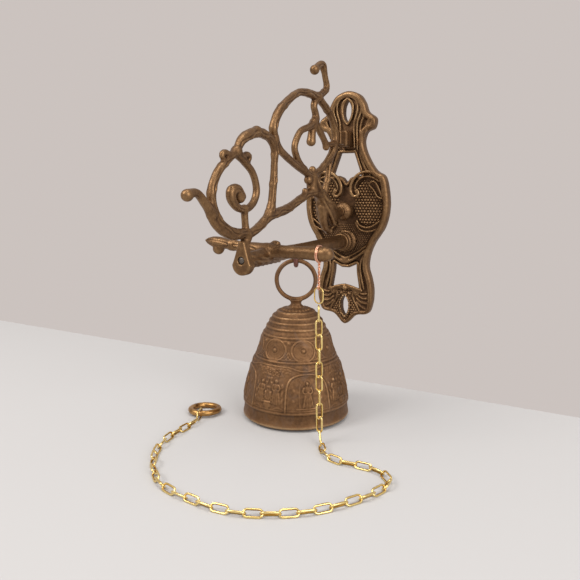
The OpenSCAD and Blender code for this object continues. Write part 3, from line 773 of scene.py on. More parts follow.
def make_lever():
    cast = Cast((-62, -190, -42), (59, -12, -15), CAST_STEP)
    shaft = [(20.4, 6.5), (23, 7.2), (25.5, 6.6), (27, 6.1), (29, 6.5), (40, 6.3), (60, 6.1),
             (85, 5.6), (111, 5.4),
             (128, 5.4), (140, 5.6), (158, 5.9), (166, 6.2), (174, 5.8), (182, 5.3), (186.5, 4.8)]

    def facets(s, side, out):
        veined = np.clip((s - 92) / 20, 0, 1)
        veins = 0.26 * np.sin(2 * math.pi * (s / 9.5 + 0.9 * out)) * np.abs(side) ** 0.5
        vein = np.exp(-(((out - 0.1 - 0.25 * np.sin(s / 7.0)) / 0.16) ** 2))
        veins = veins + 0.7 * vein * np.abs(side) ** 0.5
        ridge = -0.5 * np.exp(-((np.abs(out) - 1) / 0.12) ** 2)
        plain = 0.16 * np.cos(6 * np.arctan2(out, side)) * (1 - veined)
        return veined * (veins * 0.8 + ridge) + plain

    at = np.arange(20.8, 186.6, 1.5)
    cast.strand([(0, -t, SHAFT_Z) for t in at], np.interp(at, *zip(*shaft)), 1.0, detail=facets)
    # Serrated leaf tips along the underside
    for t in np.arange(142, 187, 6.5):
        tip = [(0, -t - 4, SHAFT_Z - 3.6), (0, -t, SHAFT_Z - 5.4), (0, -t + 3.2, SHAFT_Z - 6.9)]
        cast.strand(tip, (2.6, 1.9, 0.7), 1.0, flat=1.4)
    # The smooth blunt arm
    arm = [(0, 6.2), (6, 5.9), (12, 5.3), (26, 4.9), (38, 5.1), (46, 5.7), (51, 5.7), (53.2, 5.0)]
    at = np.arange(0, 53.3, 1.6)
    cast.strand([(x, -BEAM_T, BEAM_Z) for x in at], np.interp(at, *zip(*arm)), 2.2)
    # The leaf arm with its notch, midrib and the bud beneath it
    leaf = [(0, 6.2), (7, 5.6), (14, 5.1), (22, 4.5), (29, 4.2), (33, 5.2), (38, 4.1),
            (45, 5.0), (51, 4.6), (56, 3.0), (60.3, 0.7)]
    at = np.arange(0, 60.4, 1.3)
    radius = np.interp(at, *zip(*leaf))
    cast.strand([(-x, -BEAM_T, BEAM_Z + LEAF_RISE * x) for x in at], radius, 1.6)
    for up in (-1, 1):
        for x0, x1 in ((8, 30), (35, 58)):
            at = np.linspace(x0, x1, 14)
            rise = 2.2 * np.sin(math.pi * (at - x0) / (x1 - x0)) ** 0.7
            r = np.interp(at, *zip(*leaf))
            for face in (-1, 1):
                vein = [(-x, -BEAM_T + face * (q * 0.97), BEAM_Z + LEAF_RISE * x + up * (0.7 + 0.6 * v))
                        for x, q, v in zip(at, r, rise)]
                groove(cast, vein, 0.55)
    cast.strand([(-43, -BEAM_T, BEAM_Z + 1.7), (-47, -BEAM_T, BEAM_Z - 0.6)], (2.6, 4.4), 1.2)
    cast.ball((-47.2, -BEAM_T, BEAM_Z - 0.8), 4.5, 0.8, (1.1, 1, 1))
    # The curled nub beside the neck
    curl = [(2, -BEAM_T + 4, BEAM_Z + 4), (5, -BEAM_T + 3, BEAM_Z + 6.2), (8.4, -BEAM_T + 2, BEAM_Z + 5.6)]
    cast.strand(smooth(curl, 4), (2.3, 2.2, 2.5), 1.2)
    # Flat ends, and bores for the two pins
    cut, (x, y, z) = cast.part((-10, -30, -42), (10, 0, -15))
    cast.cut_away(cut, -20.3 - y + 0 * x + 0 * z)
    for t0, t1 in ((19, 34), (175, 190)):
        cut, (x, y, z) = cast.part((-4, -t1, SHAFT_Z - 4), (4, -t0, SHAFT_Z + 4))
        cast.cut_away(cut, np.sqrt(x * x + (z - SHAFT_Z) ** 2) - 2.65 + 0 * y)
    return cast.make("lever_casting", "rocker", "antique_bronze", ANTIQUE, ["rocker_lever"], 1, 0.06, 5)


def groove(cast, path, radius, fillet=0.5):
    """Carves a round channel along a path."""
    path = np.asarray(path, float)
    for a, b in zip(path, path[1:]):
        reach = radius + 2
        cut, (x, y, z) = cast.part(np.minimum(a, b) - reach, np.maximum(a, b) + reach)
        ab = b - a
        t = np.clip(((x - a[0]) * ab[0] + (y - a[1]) * ab[1] + (z - a[2]) * ab[2]) / max(ab @ ab, 1e-9), 0, 1)
        away = np.sqrt(
            (x - a[0] - t * ab[0]) ** 2 + (y - a[1] - t * ab[1]) ** 2 + (z - a[2] - t * ab[2]) ** 2)
        cast.cut_away(cut, away - radius, fillet)


make_lever()


# ---------------------------------------------------------------- backplate
HEAD = [(0, 116), (12, 112), (18, 104), (21.5, 95.5), (29.5, 89), (28, 80), (20.5, 76), (18, 66),
        (22, 54), (31, 40)]
HEART = [(40, 34), (44, 20), (45, 2), (41, -15), (31, -31), (26, -44)]
FOOT = [(25, -56), (28.5, -68), (30.5, -80), (29.5, -93), (25, -103), (12, -106), (0, -116)]
UPPER_WINDOW = [(7.5, 57), (15.5, 35), (9, 35), (4, 33), (0, 28)]
LOWER_WINDOW = [(4, -57), (12, -53), (12.5, -62), (15.5, -79), (8, -77), (0, -75)]
SLOT_Z = 96.5
GROUND = 4.0
# Ridges laid on the web: half the plate's points as (x, z), the ridge's radius, and the height of its top
RIDGES = [
    # The two lines of the heart's upper curl, and the leaves beside it
    ([(37, 32), (30, 37), (20, 38.6), (11, 34.6), (5.8, 27), (5.2, 19.5), (9, 14.6), (13.4, 16.6),
      (12.6, 20.6), (10.4, 20)],
     1.5, 9.2),
    ([(35, 29), (27, 33.2), (19.5, 34), (13, 30.6), (9.6, 25), (9.8, 21.4)], 0.9, 7.8),
    ([(33, 36), (36.6, 30), (38.2, 22), (38.4, 15)], 1.1, 8.2),
    ([(24, 27), (28.5, 29.6), (33, 25), (37.4, 14.5)], 0.9, 7.6),
    ([(24, 25.6), (29, 21), (33, 14.6), (38, 12.6)], 0.9, 7.4),
    # The line beside the rim, and the double curl under the beads
    ([(37.4, -9), (39.6, 2), (39, 11)], 0.8, 6.6),
    ([(12, -9.4), (14, -13), (19, -15.6), (27, -15), (36.4, -8.6)], 1.0, 7.4),
    ([(10.6, -11.4), (14, -17), (20, -19.6), (28, -19.2), (36.4, -15)], 1.0, 7.4),
    ([(12, -9.4), (10.4, -10.4), (10.6, -11.4)], 1.0, 7.2),
    # The heart's point
    ([(35, -20), (27, -30), (14, -40), (4.6, -45.4), (0, -47)], 1.0, 7.4),
    ([(33, -27), (25, -35.6), (13, -45), (5, -50), (0, -51.6)], 1.5, 8.2),
    # The foot: its upper edge, its volutes and the lines that run round the slot
    ([(18.6, -80), (13, -78.4), (7, -76.4), (0, -74.8)], 1.4, 7.6),
    ([(0, -79.4), (5, -77.2), (10, -77), (14.4, -79.6), (14.6, -83.4), (11.6, -84.4),
      (10.6, -81.6), (12.6, -80.6)],
     0.95, 7.4),
    ([(9.4, -80), (8.6, -86), (10.8, -92), (14, -97), (16.4, -102)], 1.0, 7.0),
    ([(15.6, -82), (20, -83.4), (25, -82)], 1.2, 6.8),
    ([(14.4, -85), (19, -87.8), (25.4, -87.6)], 1.2, 6.8),
    ([(13.4, -88.4), (18, -92), (25, -93)], 1.2, 6.6),
    ([(13.4, -92.4), (17, -96), (22, -98.6)], 1.1, 6.4),
    # The head: fine lines from the top rim down beside the slot to the lug
    ([(3, 110.4), (9.4, 106), (10.8, 97), (7.6, 86), (7.4, 76), (8.4, 62)], 0.9, 8.4),
    ([(7, 110), (13.4, 104.6), (14.4, 96), (11, 86), (10.6, 76), (11.4, 60)], 0.9, 8.2),
    ([(12, 107.6), (17.4, 101), (17.6, 93), (14.6, 84), (13.8, 76), (14.6, 66)], 0.9, 8.0),
    ([(0, 109), (5, 104.6), (5.6, 96.5), (3.6, 89), (0, 84.4)], 1.1, 8.0),
    # The ear's curl
    ([(19.4, 68), (20, 76), (21.4, 84), (24.6, 88.6), (27.8, 86.8), (27.6, 82.6), (25, 82),
      (24.4, 84.4)], 1.5, 8.8),
    # The inner line of the upper limb, and of the lower one
    ([(14.6, 62), (14.4, 55), (18.6, 44), (24.6, 36)], 1.2, 7.6),
    ([(21, -42), (17.4, -50), (16.6, -58), (18.6, -69), (21, -78)], 1.2, 7.6),
]
BEADED = [(10, 20), (13.6, 27), (19, 31), (25, 28), (24, 25), (29, 19), (33, 12.6), (37, 11), (38, 1),
          (36, -8),
          (27, -13), (19, -13.6), (12, -8), (8, 4)]
STIPPLED = [(0, -13), (9, -13), (14, -19.4), (27, -21.4), (34, -18), (26, -29), (13, -38.6), (0, -45)]
FOOT_GROUND = [(0, -82), (8, -82), (8, -90), (14, -99), (12, -104), (0, -113)]


def both_sides(points):
    return points + [(-x, z) for x, z in reversed(points) if abs(x) > 0.01]


def outline_distance(x, z, loop):
    """How far each place lies outside a closed outline; it is negative inside."""
    shape = np.broadcast(x, z).shape
    away, inside = np.full(shape, 1e9), np.zeros(shape, bool)
    for (ax, az), (bx, bz) in zip(loop, np.roll(loop, -1, 0)):
        ex, ez = bx - ax, bz - az
        t = np.clip(((x - ax) * ex + (z - az) * ez) / max(ex * ex + ez * ez, 1e-9), 0, 1)
        away = np.minimum(away, np.hypot(x - ax - t * ex, z - az - t * ez))
        if az != bz:
            inside ^= ((az > z) != (bz > z)) & (x < ex * (z - az) / ez + ax)
    return np.where(inside, -away, away)


def bead_field(x, z, pitch, radius):
    """The height of round beads packed in a honeycomb."""
    rise = 0
    tall = pitch * math.sqrt(3)
    for shift in (0.0, 0.5):
        u = (np.mod(x / pitch + shift, 1) - 0.5) * pitch
        v = (np.mod(z / tall + shift, 1) - 0.5) * tall
        rise = np.maximum(rise, np.sqrt(np.maximum(radius**2 - u * u - v * v, 0)))
    return rise


def within(distance, soft=0.6):
    """One inside an outline and nothing outside, with a soft edge."""
    return np.clip(0.5 - distance / soft, 0, 1)


def plate_height(x, z, edge, windows, slots):
    """The height of the front face: ground, rim, the limbs' inner edges, beads and lips."""
    ax = np.abs(x)
    rim_w = np.interp(z, [-116, -100, -84, -40, 30, 60, 100, 116], [1.6, 2.0, 3.0, 3.3, 3.3, 3.2, 3.4, 3.4])
    rim_h = np.interp(z, [-116, -100, -84, -40, 116], [6.4, 7.0, 8.6, 9.0, 9.0])
    inward = (-edge - rim_w) / rim_w
    rim = np.where(np.abs(inward) < 1, 5 + (rim_h - 5) * np.sqrt(np.maximum(1 - inward**2, 0)), 0)
    spots = np.stack(np.broadcast_arrays(x, 0 * x, z), -1).reshape(-1, 3)
    height = GROUND + 0.12 * ripple(spots, 3.0, 8).reshape(edge.shape)
    limbs = within(np.where(z > 0, 36 - z, z + 52), 3)
    height = height + limbs * 1.2
    lip = (windows - 1.7) / 1.7
    height = np.maximum(height, np.where(np.abs(lip) < 1, 4.6 + 2.6 * np.sqrt(np.maximum(1 - lip**2, 0)), 0))
    lip = (slots - 1.4) / 1.4
    height = np.maximum(height, np.where(np.abs(lip) < 1, 4.6 + 2.8 * np.sqrt(np.maximum(1 - lip**2, 0)), 0))
    height += within(outline_distance(ax, z, BEADED)) * bead_field(x, z, 3.2, 1.45) * 1.1
    height += within(outline_distance(ax, z, STIPPLED)) * bead_field(x + 0.4, z, 2.3, 0.95) * 0.9
    height += within(outline_distance(ax, z, FOOT_GROUND)) * bead_field(x, z, 2.7, 1.15) * 0.95
    return np.maximum(height, rim)


def make_plate():
    low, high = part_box("backplate")
    cast = Cast(np.array(low) / MM, np.array(high) / MM + [0, 0, 0], 0.5)
    cut, (x, y, z) = cast.part(np.array(low) / MM - 9, np.array(high) / MM + 9)
    loop = smooth_loop(both_sides(HEAD + HEART + FOOT), 5)
    edge = outline_distance(x, z, loop)
    windows = np.minimum(outline_distance(x, z, both_sides(UPPER_WINDOW)),
                         outline_distance(x, z, both_sides(LOWER_WINDOW)))
    away = np.minimum(np.abs(z - SLOT_Z), np.abs(z + SLOT_Z))
    slots = np.abs(x) - 3.9 * np.maximum(1 - (away / 10.4) ** 2.2, 0) ** 0.8
    slots = np.where(away < 10.4, slots, np.hypot(x, away - 10.4))
    height = plate_height(x, z, edge, windows, slots)
    slope = np.hypot(np.gradient(height, axis=0), np.gradient(height, axis=2)) / cast.step
    front = (-y - height) / np.sqrt(1 + np.minimum(slope, 1.6) ** 2)
    body = np.maximum(np.maximum(front, y + 0 * front),
                      np.maximum(edge, np.maximum(-windows, -slots)) + 0 * front)
    cast.add(cut, body.astype(np.float32), 0)
    for side in (-1, 1):
        for points, radius, top in RIDGES:
            path = [(side * px, radius - top, pz) for px, pz in points]
            ends = np.array([0.7] + [1.0] * 6 + [0.7]) * radius
            cast.strand(smooth(path, 6), ends, 0.9)
        cast.ball((side * 24.6, -6.4, 84.8), 1.5, 0.5)
        cast.ball((side * 12.4, -6.4, -82.2), 1.3, 0.5)
        cast.ball((side * 11.4, -7.6, 18.6), 1.3, 0.5)
        for bead_z in (-79.5, -84):
            cast.ball((side * 4.4, -5.4, bead_z), 1.5, 0.5)
    cast.ball((0, -6.2, -77.9), 2.9, 0.8)
    cast.ball((0, -6.0, -49), 3.6, 1.6, (1.5, 0.6, 1.0))
    shell, (x, y, z) = cast.part(np.array(low) / MM - 9, np.array(high) / MM + 9)
    cast.cut_away(shell, -np.maximum(edge, -slots) + 0 * y)
    cast.cut_away(shell, -y + 0 * edge)

    def depth(points):
        """Rubbed crests and dark ground, but not the plate's own outer edge."""
        inward = np.clip((-outline_distance(points[:, 0], points[:, 2], loop) - 1.2) / 1.6, 0, 1)
        return np.clip((-points[:, 1] - 6.6) * 0.06, -0.15, 0.1) * inward

    return cast.make("plate_casting", "wall_bracket", "antique_bronze", ANTIQUE, ["backplate"],
                     1, 0.05, 11, 6, depth)


make_plate()


def make_bearing():
    """The boss under the heart: a knurled collar on a stepped flange, bored for the pin."""
    cast = Cast((-13, -20.5, SHAFT_Z - 13), (13, -4, SHAFT_Z + 13), 0.4)
    profile = [(11.4, 4.6), (11.4, 6.6), (10.6, 7.6), (9.2, 8.2), (8.6, 9), (9.6, 10.2), (10, 11.4),
               (9.9, 13.4),
               (9.2, 15), (8.1, 15.8), (8.4, 16.6), (8.6, 17.6), (8.5, 18.8), (7.9, 19.9)]

    def knurl(turn, out, across):
        ribs = 0.35 * np.cos(28 * turn) * ((out > 9.6) & (out < 15))
        return ribs + 0.2 * np.cos(18 * turn) * (out < 7.6)

    turned(cast, (0, SHAFT_Z), profile, 0, knurl)
    cut, (x, y, z) = cast.part((-4, -24, SHAFT_Z - 4), (4, -8.6, SHAFT_Z + 4))
    cast.cut_away(cut, np.maximum(np.sqrt(x * x + (z - SHAFT_Z) ** 2) - 2.7, y + 9.0))
    cast.make("bearing_boss", "wall_bracket", "antique_bronze", ANTIQUE, ["rear_bearing"], 1, 0.04, 13, 5)


def make_stud():
    """The ball-headed stud, chased with shallow meridians."""
    cast = Cast((-10.4, -22.5, -10.4), (10.4, -4, 10.4), 0.4)
    ball = [(9.3 * math.cos(math.radians(a)), 12.9 + 6.9 * math.sin(math.radians(a)))
            for a in range(-58, 64, 8)]
    profile = [(7.2, 4.6), (7.2, 6), (6.6, 6.8), (5.2, 7.2)] + ball[1:] + [(4.6, 19.5), (4.5, 20.6),
               (4.4, 22)]

    def meridians(turn, out, across):
        return 0.28 * np.exp(-((np.sin(6 * turn + 0.3) / 0.16) ** 2)) * ((out > 8) & (out < 18.4))

    turned(cast, (0, 0), profile, 0, meridians)
    cast.make("ball_stud", "wall_bracket", "antique_bronze", ANTIQUE, ["bracket_stud"], 1, 0.05, 17, 5)


def make_lug():
    """The square lug behind the bow: a block with rounded edges on a wider foot."""
    cast = Cast((-7.5, -32, 61), (7.5, -4, 79), 0.4)
    cut, (x, y, z) = cast.part((-11, -36, 57), (11, 0, 83))
    for half_x, half_z, out, soft in ((6, 7.5, 21, 2.4), (4.5, 6, 31.4, 1.2)):
        inner = [np.abs(x) - half_x + soft, np.abs(z - 70) - half_z + soft, -y - out + soft]
        outside = np.sqrt(sum(np.maximum(d, 0) ** 2 for d in inner)) - soft
        inside = np.minimum(np.maximum(np.maximum(inner[0], inner[1]), inner[2]), 0)
        block = np.maximum(outside + inside, y + 4.6)
        cast.add(cut, block, 1.2)
    for gx in (-6.2, 6.2):
        groove(cast, [(gx, -8, 64), (gx, -8, 76)], 0.7)
        groove(cast, [(gx, -14.6, 64), (gx, -14.6, 76)], 0.6)
    cast.make("square_lug", "wall_bracket", "antique_bronze", ANTIQUE, ["standoff_lug"], 1, 0.08, 19, 5)


make_bearing()
make_stud()
make_lug()


# ---------------------------------------------------------------- bell
BELL_T, HOOK_TURN, RING_Z = 111.0, 24.0, -55.8
FACING = -61.4
# The plain outside and inside as (radius, height)
OUTSIDE = [(6.8, -79.4), (12, -80.9), (16.4, -83.1), (20.3, -86.8), (23, -90.9), (25.5, -95.6),
           (28.6, -101.5),
           (30.4, -105), (32.8, -113.5), (34.4, -118.4), (35.1, -121), (37.4, -124.6), (39.8, -130.7),
           (42.5, -139.4),
           (44.8, -148), (46, -154.6), (46.5, -158.6), (46.2, -162), (46, -166), (46.4, -170), (46.9, -173),
           (46.8, -174.2), (45.9, -175)]
INSIDE = [(44.4, -175), (43.4, -172), (43.4, -161), (42, -149), (39.4, -140), (36.6, -131), (32, -121),
          (29.8, -113.5),
          (27, -104.8), (23.6, -97.6), (19.4, -91), (14, -86.6), (6, -84.6)]


def bell_at(points):
    """Points round the bell's own axis, in millimetres, moved to their place."""
    turn = math.radians(HOOK_TURN)
    x, y, z = np.moveaxis(np.asarray(points, float), -1, 0)
    return np.stack([x * math.cos(turn) - y * math.sin(turn),
                     x * math.sin(turn) + y * math.cos(turn) - BELL_T, z], axis=-1)


class Relief:
    """Heights over one quarter of the bell. Angles are degrees from the middle of an arch."""

    def __init__(self, across):
        line, _ = even(smooth(OUTSIDE, 8), 0.2)
        rng = np.concatenate([[0], np.cumsum(np.linalg.norm(np.diff(line, axis=0), axis=1))])
        # Rows lie closer together where the figures are
        want = np.interp(line[:, 1], [-175, -165, -162, -128, -78], [0.95, 0.9, 0.54, 0.48, 0.66])
        count = np.concatenate([[0], np.cumsum(np.diff(rng) / want[:-1])])
        at = np.interp(np.linspace(0, count[-1], int(count[-1]) + 1), count, rng)
        self.run = at
        self.radius, self.z = (np.interp(at, rng, line[:, k]) for k in (0, 1))
        self.line_run, self.line_z = rng, line[:, 1]
        self.angle = np.linspace(-45, 45, across, endpoint=False)
        self.height = np.zeros((len(at), across))

    def place(self, z):
        return np.interp(-np.asarray(z, float), -self.line_z, self.line_run)

    def near(self, angle, z, reach):
        """The rows and columns near a spot, and the distances from it along the surface."""
        s = self.place(z)
        rows = np.abs(self.run - s) < reach
        r = max(self.radius[rows].min(initial=20), 6)
        cols = np.abs((self.angle - angle + 45) % 90 - 45) < math.degrees(reach / r) + 1
        turn = (self.angle[cols] - angle + 45) % 90 - 45
        dx = np.radians(turn)[None] * self.radius[rows][:, None]
        return np.ix_(rows, cols), dx, (self.run[rows] - s)[:, None]

    def raise_to(self, cut, rise):
        self.height[cut] = np.maximum(self.height[cut], rise)

    def line(self, points, width, height, closed=False):
        """A rounded raised line. Points are (angle, z)."""
        path = smooth_loop(points, 8) if closed else smooth(points, 8)
        for a, b in zip(path, path[1:] if not closed else np.roll(path, -1, 0)):
            r = np.interp(-a[1], -self.z[:], self.radius)
            length = math.hypot(math.radians(b[0] - a[0]) * r, b[1] - a[1])
            for t in np.arange(0, 1, 0.35 / max(length, 0.35)):
                q = a + (b - a) * t
                cut, dx, dy = self.near(q[0], q[1], width + 0.3)
                d = np.sqrt(dx * dx + dy * dy) / (width * 0.62)
                self.raise_to(cut, height * np.sqrt(np.maximum(1 - d * d, 0)))

    def blob(self, angle, z, wide, tall, height, lean=0.0):
        cut, dx, dy = self.near(angle, z, max(wide, tall) + 0.6)
        c, s = math.cos(math.radians(lean)), math.sin(math.radians(lean))
        u, v = (dx * c + dy * s) / wide, (dy * c - dx * s) / tall
        self.raise_to(cut, height * np.sqrt(np.maximum(1 - u * u - v * v, 0)))

    def pit(self, angle, z, wide, tall, depth):
        cut, dx, dy = self.near(angle, z, max(wide, tall) * 2)
        self.height[cut] -= depth * np.exp(-((dx / wide) ** 2) - (dy / tall) ** 2)

    def figure(self, angle, feet, tall, wide, lean=0.0, halo=False):
        """A calm standing person in a long robe, hands folded."""
        r = float(np.interp(-(feet + tall / 2), -self.z, self.radius))
        deg = math.degrees(1 / r)
        head = feet + tall * 0.885
        k = tall / 24

        def at(x, up):
            return angle + (x * wide + lean * (up - 0.5)) * deg, feet + tall * up

        if halo:
            self.line([(angle + lean * 0.4 * deg + 3.0 * k * deg * math.cos(a), head + 3.0 * k * math.sin(a))
                       for a in np.arange(0, 6.2, 0.8)], 0.8, 0.35, True)
        self.blob(*at(0, 0.885), 1.75 * k, 2.15 * k, 1.15)
        self.blob(*at(0, 0.66), 0.40 * wide, 3.6 * k, 0.85)
        self.blob(*at(0, 0.70), 0.52 * wide, 1.9 * k, 0.7)
        self.blob(*at(0, 0.34), 0.46 * wide, 7.2 * k, 0.8)
        self.blob(*at(0, 0.10), 0.55 * wide, 3.2 * k, 0.75)
        for x in (-0.36, -0.12, 0.13, 0.37):
            self.line([at(x * 0.5, 0.52), at(x, 0.28), at(x * 1.25, 0.02)], 0.75 * k + 0.2, 1.0)
        for side in (-1, 1):
            self.line([at(0.38 * side, 0.73), at(0.48 * side, 0.6), at(0.3 * side, 0.52), at(0.02, 0.56)],
                      1.25 * k, 1.05)
            self.blob(*at(0.16 * side, 0.0), 0.9 * k, 0.7 * k, 0.7)
            self.pit(*at(0.075 * side, 0.895), 0.28, 0.24, 0.26)
        self.line([at(0, 0.90), at(0, 0.872)], 0.5, 1.3)
        self.pit(*at(0, 0.852), 0.5, 0.16, 0.2)


def bell_relief(relief):
    # Turned ridges round the crown, and the steps round the waist and over the band
    z, height = relief.z, relief.height
    for ridge_z, rise, wide in ((-82.9, 0.75, 1.15), (-86.7, 0.8, 1.2), (-90.8, 0.8, 1.2), (-95.5, 0.8, 1.25),
                                (-101.4, 0.75, 1.1), (-121, 0.95, 1.25), (-118.9, 0.4, 0.7),
                                (-161.2, 0.8, 1.2)):
        d = (relief.run - relief.place(ridge_z)) / wide
        height += (rise * np.sqrt(np.maximum(1 - d * d, 0)))[:, None]
    for line_z, rise in ((-103.9, 0.35), (-158.9, 0.3), (-173.2, 0.25)):
        d = (relief.run - relief.place(line_z)) / 0.6
        height += (rise * np.sqrt(np.maximum(1 - d * d, 0)))[:, None]
    # Petals on the collar under the neck
    for a in range(-45, 45, 15):
        relief.blob(a + 4, -80.9, 1.3, 1.9, 0.6)
    # Two medallions to a quarter, with their bosses and the small ornaments between
    for a in (-46.6, -1.6):
        for rad, wide, rise in ((10.3, 1.3, 0.6), (8.2, 0.6, 0.22)):
            ring = [(a + math.degrees(rad * math.cos(q) / 32.6), -111.4 + rad * 0.84 * math.sin(q))
                    for q in np.arange(0, 6.2, 0.4)]
            relief.line(ring, wide, rise, True)
        relief.blob(a, -111.4, 1.8, 1.8, 0.95)
        relief.line([(a + math.degrees(3.3 * math.cos(q) / 32.6), -111.4 + 3.2 * math.sin(q))
                     for q in np.arange(0, 6.2, 0.6)], 0.6, 0.16, True)
        mid = a + 22.5
        relief.line([(mid - 2.4, -105.2), (mid, -103.4), (mid + 2.4, -105.2), (mid, -107.0)], 0.7, 0.4, True)
        relief.blob(mid, -105.2, 1.1, 1.3, 0.85)
        for side in (-1, 1):
            relief.line([(mid + side * 0.4, -113), (mid + side * 3.4, -115.6), (mid + side * 6, -117.6)],
                        0.8, 0.45)
            relief.blob(mid + side * 2.6, -118.0, 0.8, 0.9, 0.6)
        relief.blob(mid, -116.6, 0.9, 1.3, 0.6)
    # The swag over the arch and the rough ground beside it
    swag = [(-45, -123.6), (-33, -123.8), (-24, -124), (-17, -124.9), (-9, -126.4), (0, -127), (9, -126.4),
            (17, -124.9), (24, -124), (33, -123.8), (45, -123.6)]
    relief.line(swag, 1.0, 0.6)
    relief.blob(0, -124.4, 1.3, 1.2, 0.55)
    rng = np.random.default_rng(4)
    for _ in range(150):
        a, z0 = rng.uniform(20, 70), rng.uniform(-131.5, -125.2)
        if z0 < -129 and abs(a - 45) > 16:
            continue
        relief.blob(a, z0, rng.uniform(0.5, 0.8), rng.uniform(0.5, 0.8), rng.uniform(0.3, 0.55))
    # The arch, its sunk ground, and the person in it
    arch = [(-24.4, -160), (-24.2, -153), (-24, -144.6), (-22.6, -137.6), (-18, -132.5), (-9.5, -130),
            (0, -129.4),
            (9.5, -130), (18, -132.5), (22.6, -137.6), (24, -144.6), (24.2, -153), (24.4, -160)]
    relief.line(arch, 1.25, 0.85)
    inner = [(a * 0.9, z0 - 1.6 if abs(a) < 23 else z0 - 0.2) for a, z0 in arch]
    relief.line(inner, 0.6, 0.25)
    relief.line([(-12, -157), (0, -156.8), (12, -157)], 1.1, 0.5)
    relief.figure(0, -155.7, 21.8, 8.4, halo=True)
    relief.line([(-8.4, -137.3), (-9.6, -143.7), (-9, -155.4)], 0.8, 0.4)
    for a, z0 in ((-15.5, -141.9), (15, -140), (-16, -150.2), (15.8, -148.8), (13.6, -154.4)):
        relief.blob(a, z0, 1.2, 1.7, 0.4, 20 * (1 if a > 0 else -1))
    # Between two arches: a pair of smaller people over a footed bowl with a vine
    for side in (-1, 1):
        mid = 45 + side * 9.6
        relief.figure(mid, -153.7, 20.8 if side > 0 else 19.2, 7.0, lean=-1.2 * side)
        for dz in (-139.1, -145.1, -151.1):
            relief.blob(45 + side * 16.6, dz, 0.9, 2.4, 0.55, 14 * side)
        vine = [(45 + side * 1.0, -150.7), (45 + side * 3.2, -147), (45 + side * 1.2, -143.2),
                (45 + side * 3.6, -139.7),
                (45 + side * 1.6, -135.8), (45 + side * 3.4, -133)]
        relief.line(vine, 0.75, 0.5)
        for a, z0 in ((3.4, -145), (1.0, -140.8), (3.4, -137.1), (1.2, -133.6)):
            relief.blob(45 + side * a, z0, 1.0, 1.3, 0.65, 30 * side)
        for k in range(5):
            relief.blob(45 + side * (3.6 + 1.2 * (k % 2)), -152.4 + 1.5 * k, 0.65, 0.65, 0.6)
        relief.line([(45 + side * 6.4, -158.9), (45 + side * 12, -156.5), (45 + side * 18.6, -158)], 0.8, 0.4)
    relief.blob(45, -155.2, 4.0, 2.7, 0.9)
    relief.line([(40.4, -152.9), (45, -152.6), (49.6, -152.9)], 0.9, 0.95)
    relief.blob(45, -158.5, 2.4, 1.1, 0.8)
    for k in (-1, 0, 1):
        relief.line([(45 + k * 2.4, -153.5), (45 + k * 2.0, -156.1), (45 + k * 1.0, -157.8)], 0.6, 1.05)
    # Fine unevenness of the cast ground
    a = np.radians(relief.angle)
    spots = np.stack(np.broadcast_arrays(relief.radius[:, None] * np.cos(a),
    relief.radius[:, None] * np.sin(a),
                                         relief.z[:, None]), -1).reshape(-1, 3)
    low = within_rows(relief.z, -160, -122)[:, None]
    rough = ripple(spots, 1.6, 23) * 0.05 + ripple(spots, 5.0, 24) * 0.08
    relief.height += (0.4 + low) * rough.reshape(relief.height.shape)
    relief.height = relief.height * 0.86


def within_rows(z, low, high):
    return ((z > low) & (z < high)).astype(float)


def make_bell():
    quarter = 124
    relief = Relief(quarter)
    bell_relief(relief)
    height = np.tile(relief.height, 4)
    angle = np.radians(np.concatenate([relief.angle + 90 * k for k in range(4)]) + FACING + 13)
    dr, dz = np.gradient(relief.radius), np.gradient(relief.z)
    size = np.hypot(dr, dz)
    out_r, out_z = (-dz / size)[:, None], (dr / size)[:, None]
    fade = (np.clip((relief.run[-1] - relief.run) / 1.2, 0, 1)[:, None]
            * np.clip(relief.run / 1.5, 0, 1)[:, None])
    # The whole body is a little out of round
    swell = 0.1 * np.sin(2 * angle + 1)[None] * np.clip((-relief.z - 90) / 60, 0, 1)[:, None]
    r = np.minimum(relief.radius[:, None] + out_r * height * fade + swell, 47.55)
    z = relief.z[:, None] + out_z * height * fade + 0 * angle
    inner, _ = even(smooth(INSIDE, 6), 3.6)
    r = np.concatenate([r, np.repeat(inner[:, :1], len(angle), 1)])
    z = np.concatenate([z, np.repeat(inner[:, 1:], len(angle), 1)])
    rows = np.stack([r * np.cos(angle), r * np.sin(angle) - BELL_T, z], -1)
    m, n = rows.shape[:2]
    index = np.arange(m * n).reshape(m, n)
    a, b = index[:-1], index[1:]
    faces = np.stack([a, np.roll(a, -1, 1), np.roll(b, -1, 1), b], -1).reshape(-1, 4)
    # The crown's top and roof are closed with fans of thin four-sided faces
    caps = []
    points = rows.reshape(-1, 3)
    for ring, top in ((index[0], True), (index[-1], False)):
        middle = len(points)
        points = np.concatenate([points, points[ring].mean(0)[None]])
        for k in range(0, n, 2):
            quad = (middle, ring[(k + 2) % n], ring[(k + 1) % n], ring[k])
            caps.append(quad if top else quad[::-1])
    faces = np.concatenate([faces, np.array(caps)])[:, ::-1]
    return finish_mesh("bell_casting", points * MM, faces, "bell", BELL, ["bell_shell"], 10)


make_bell()


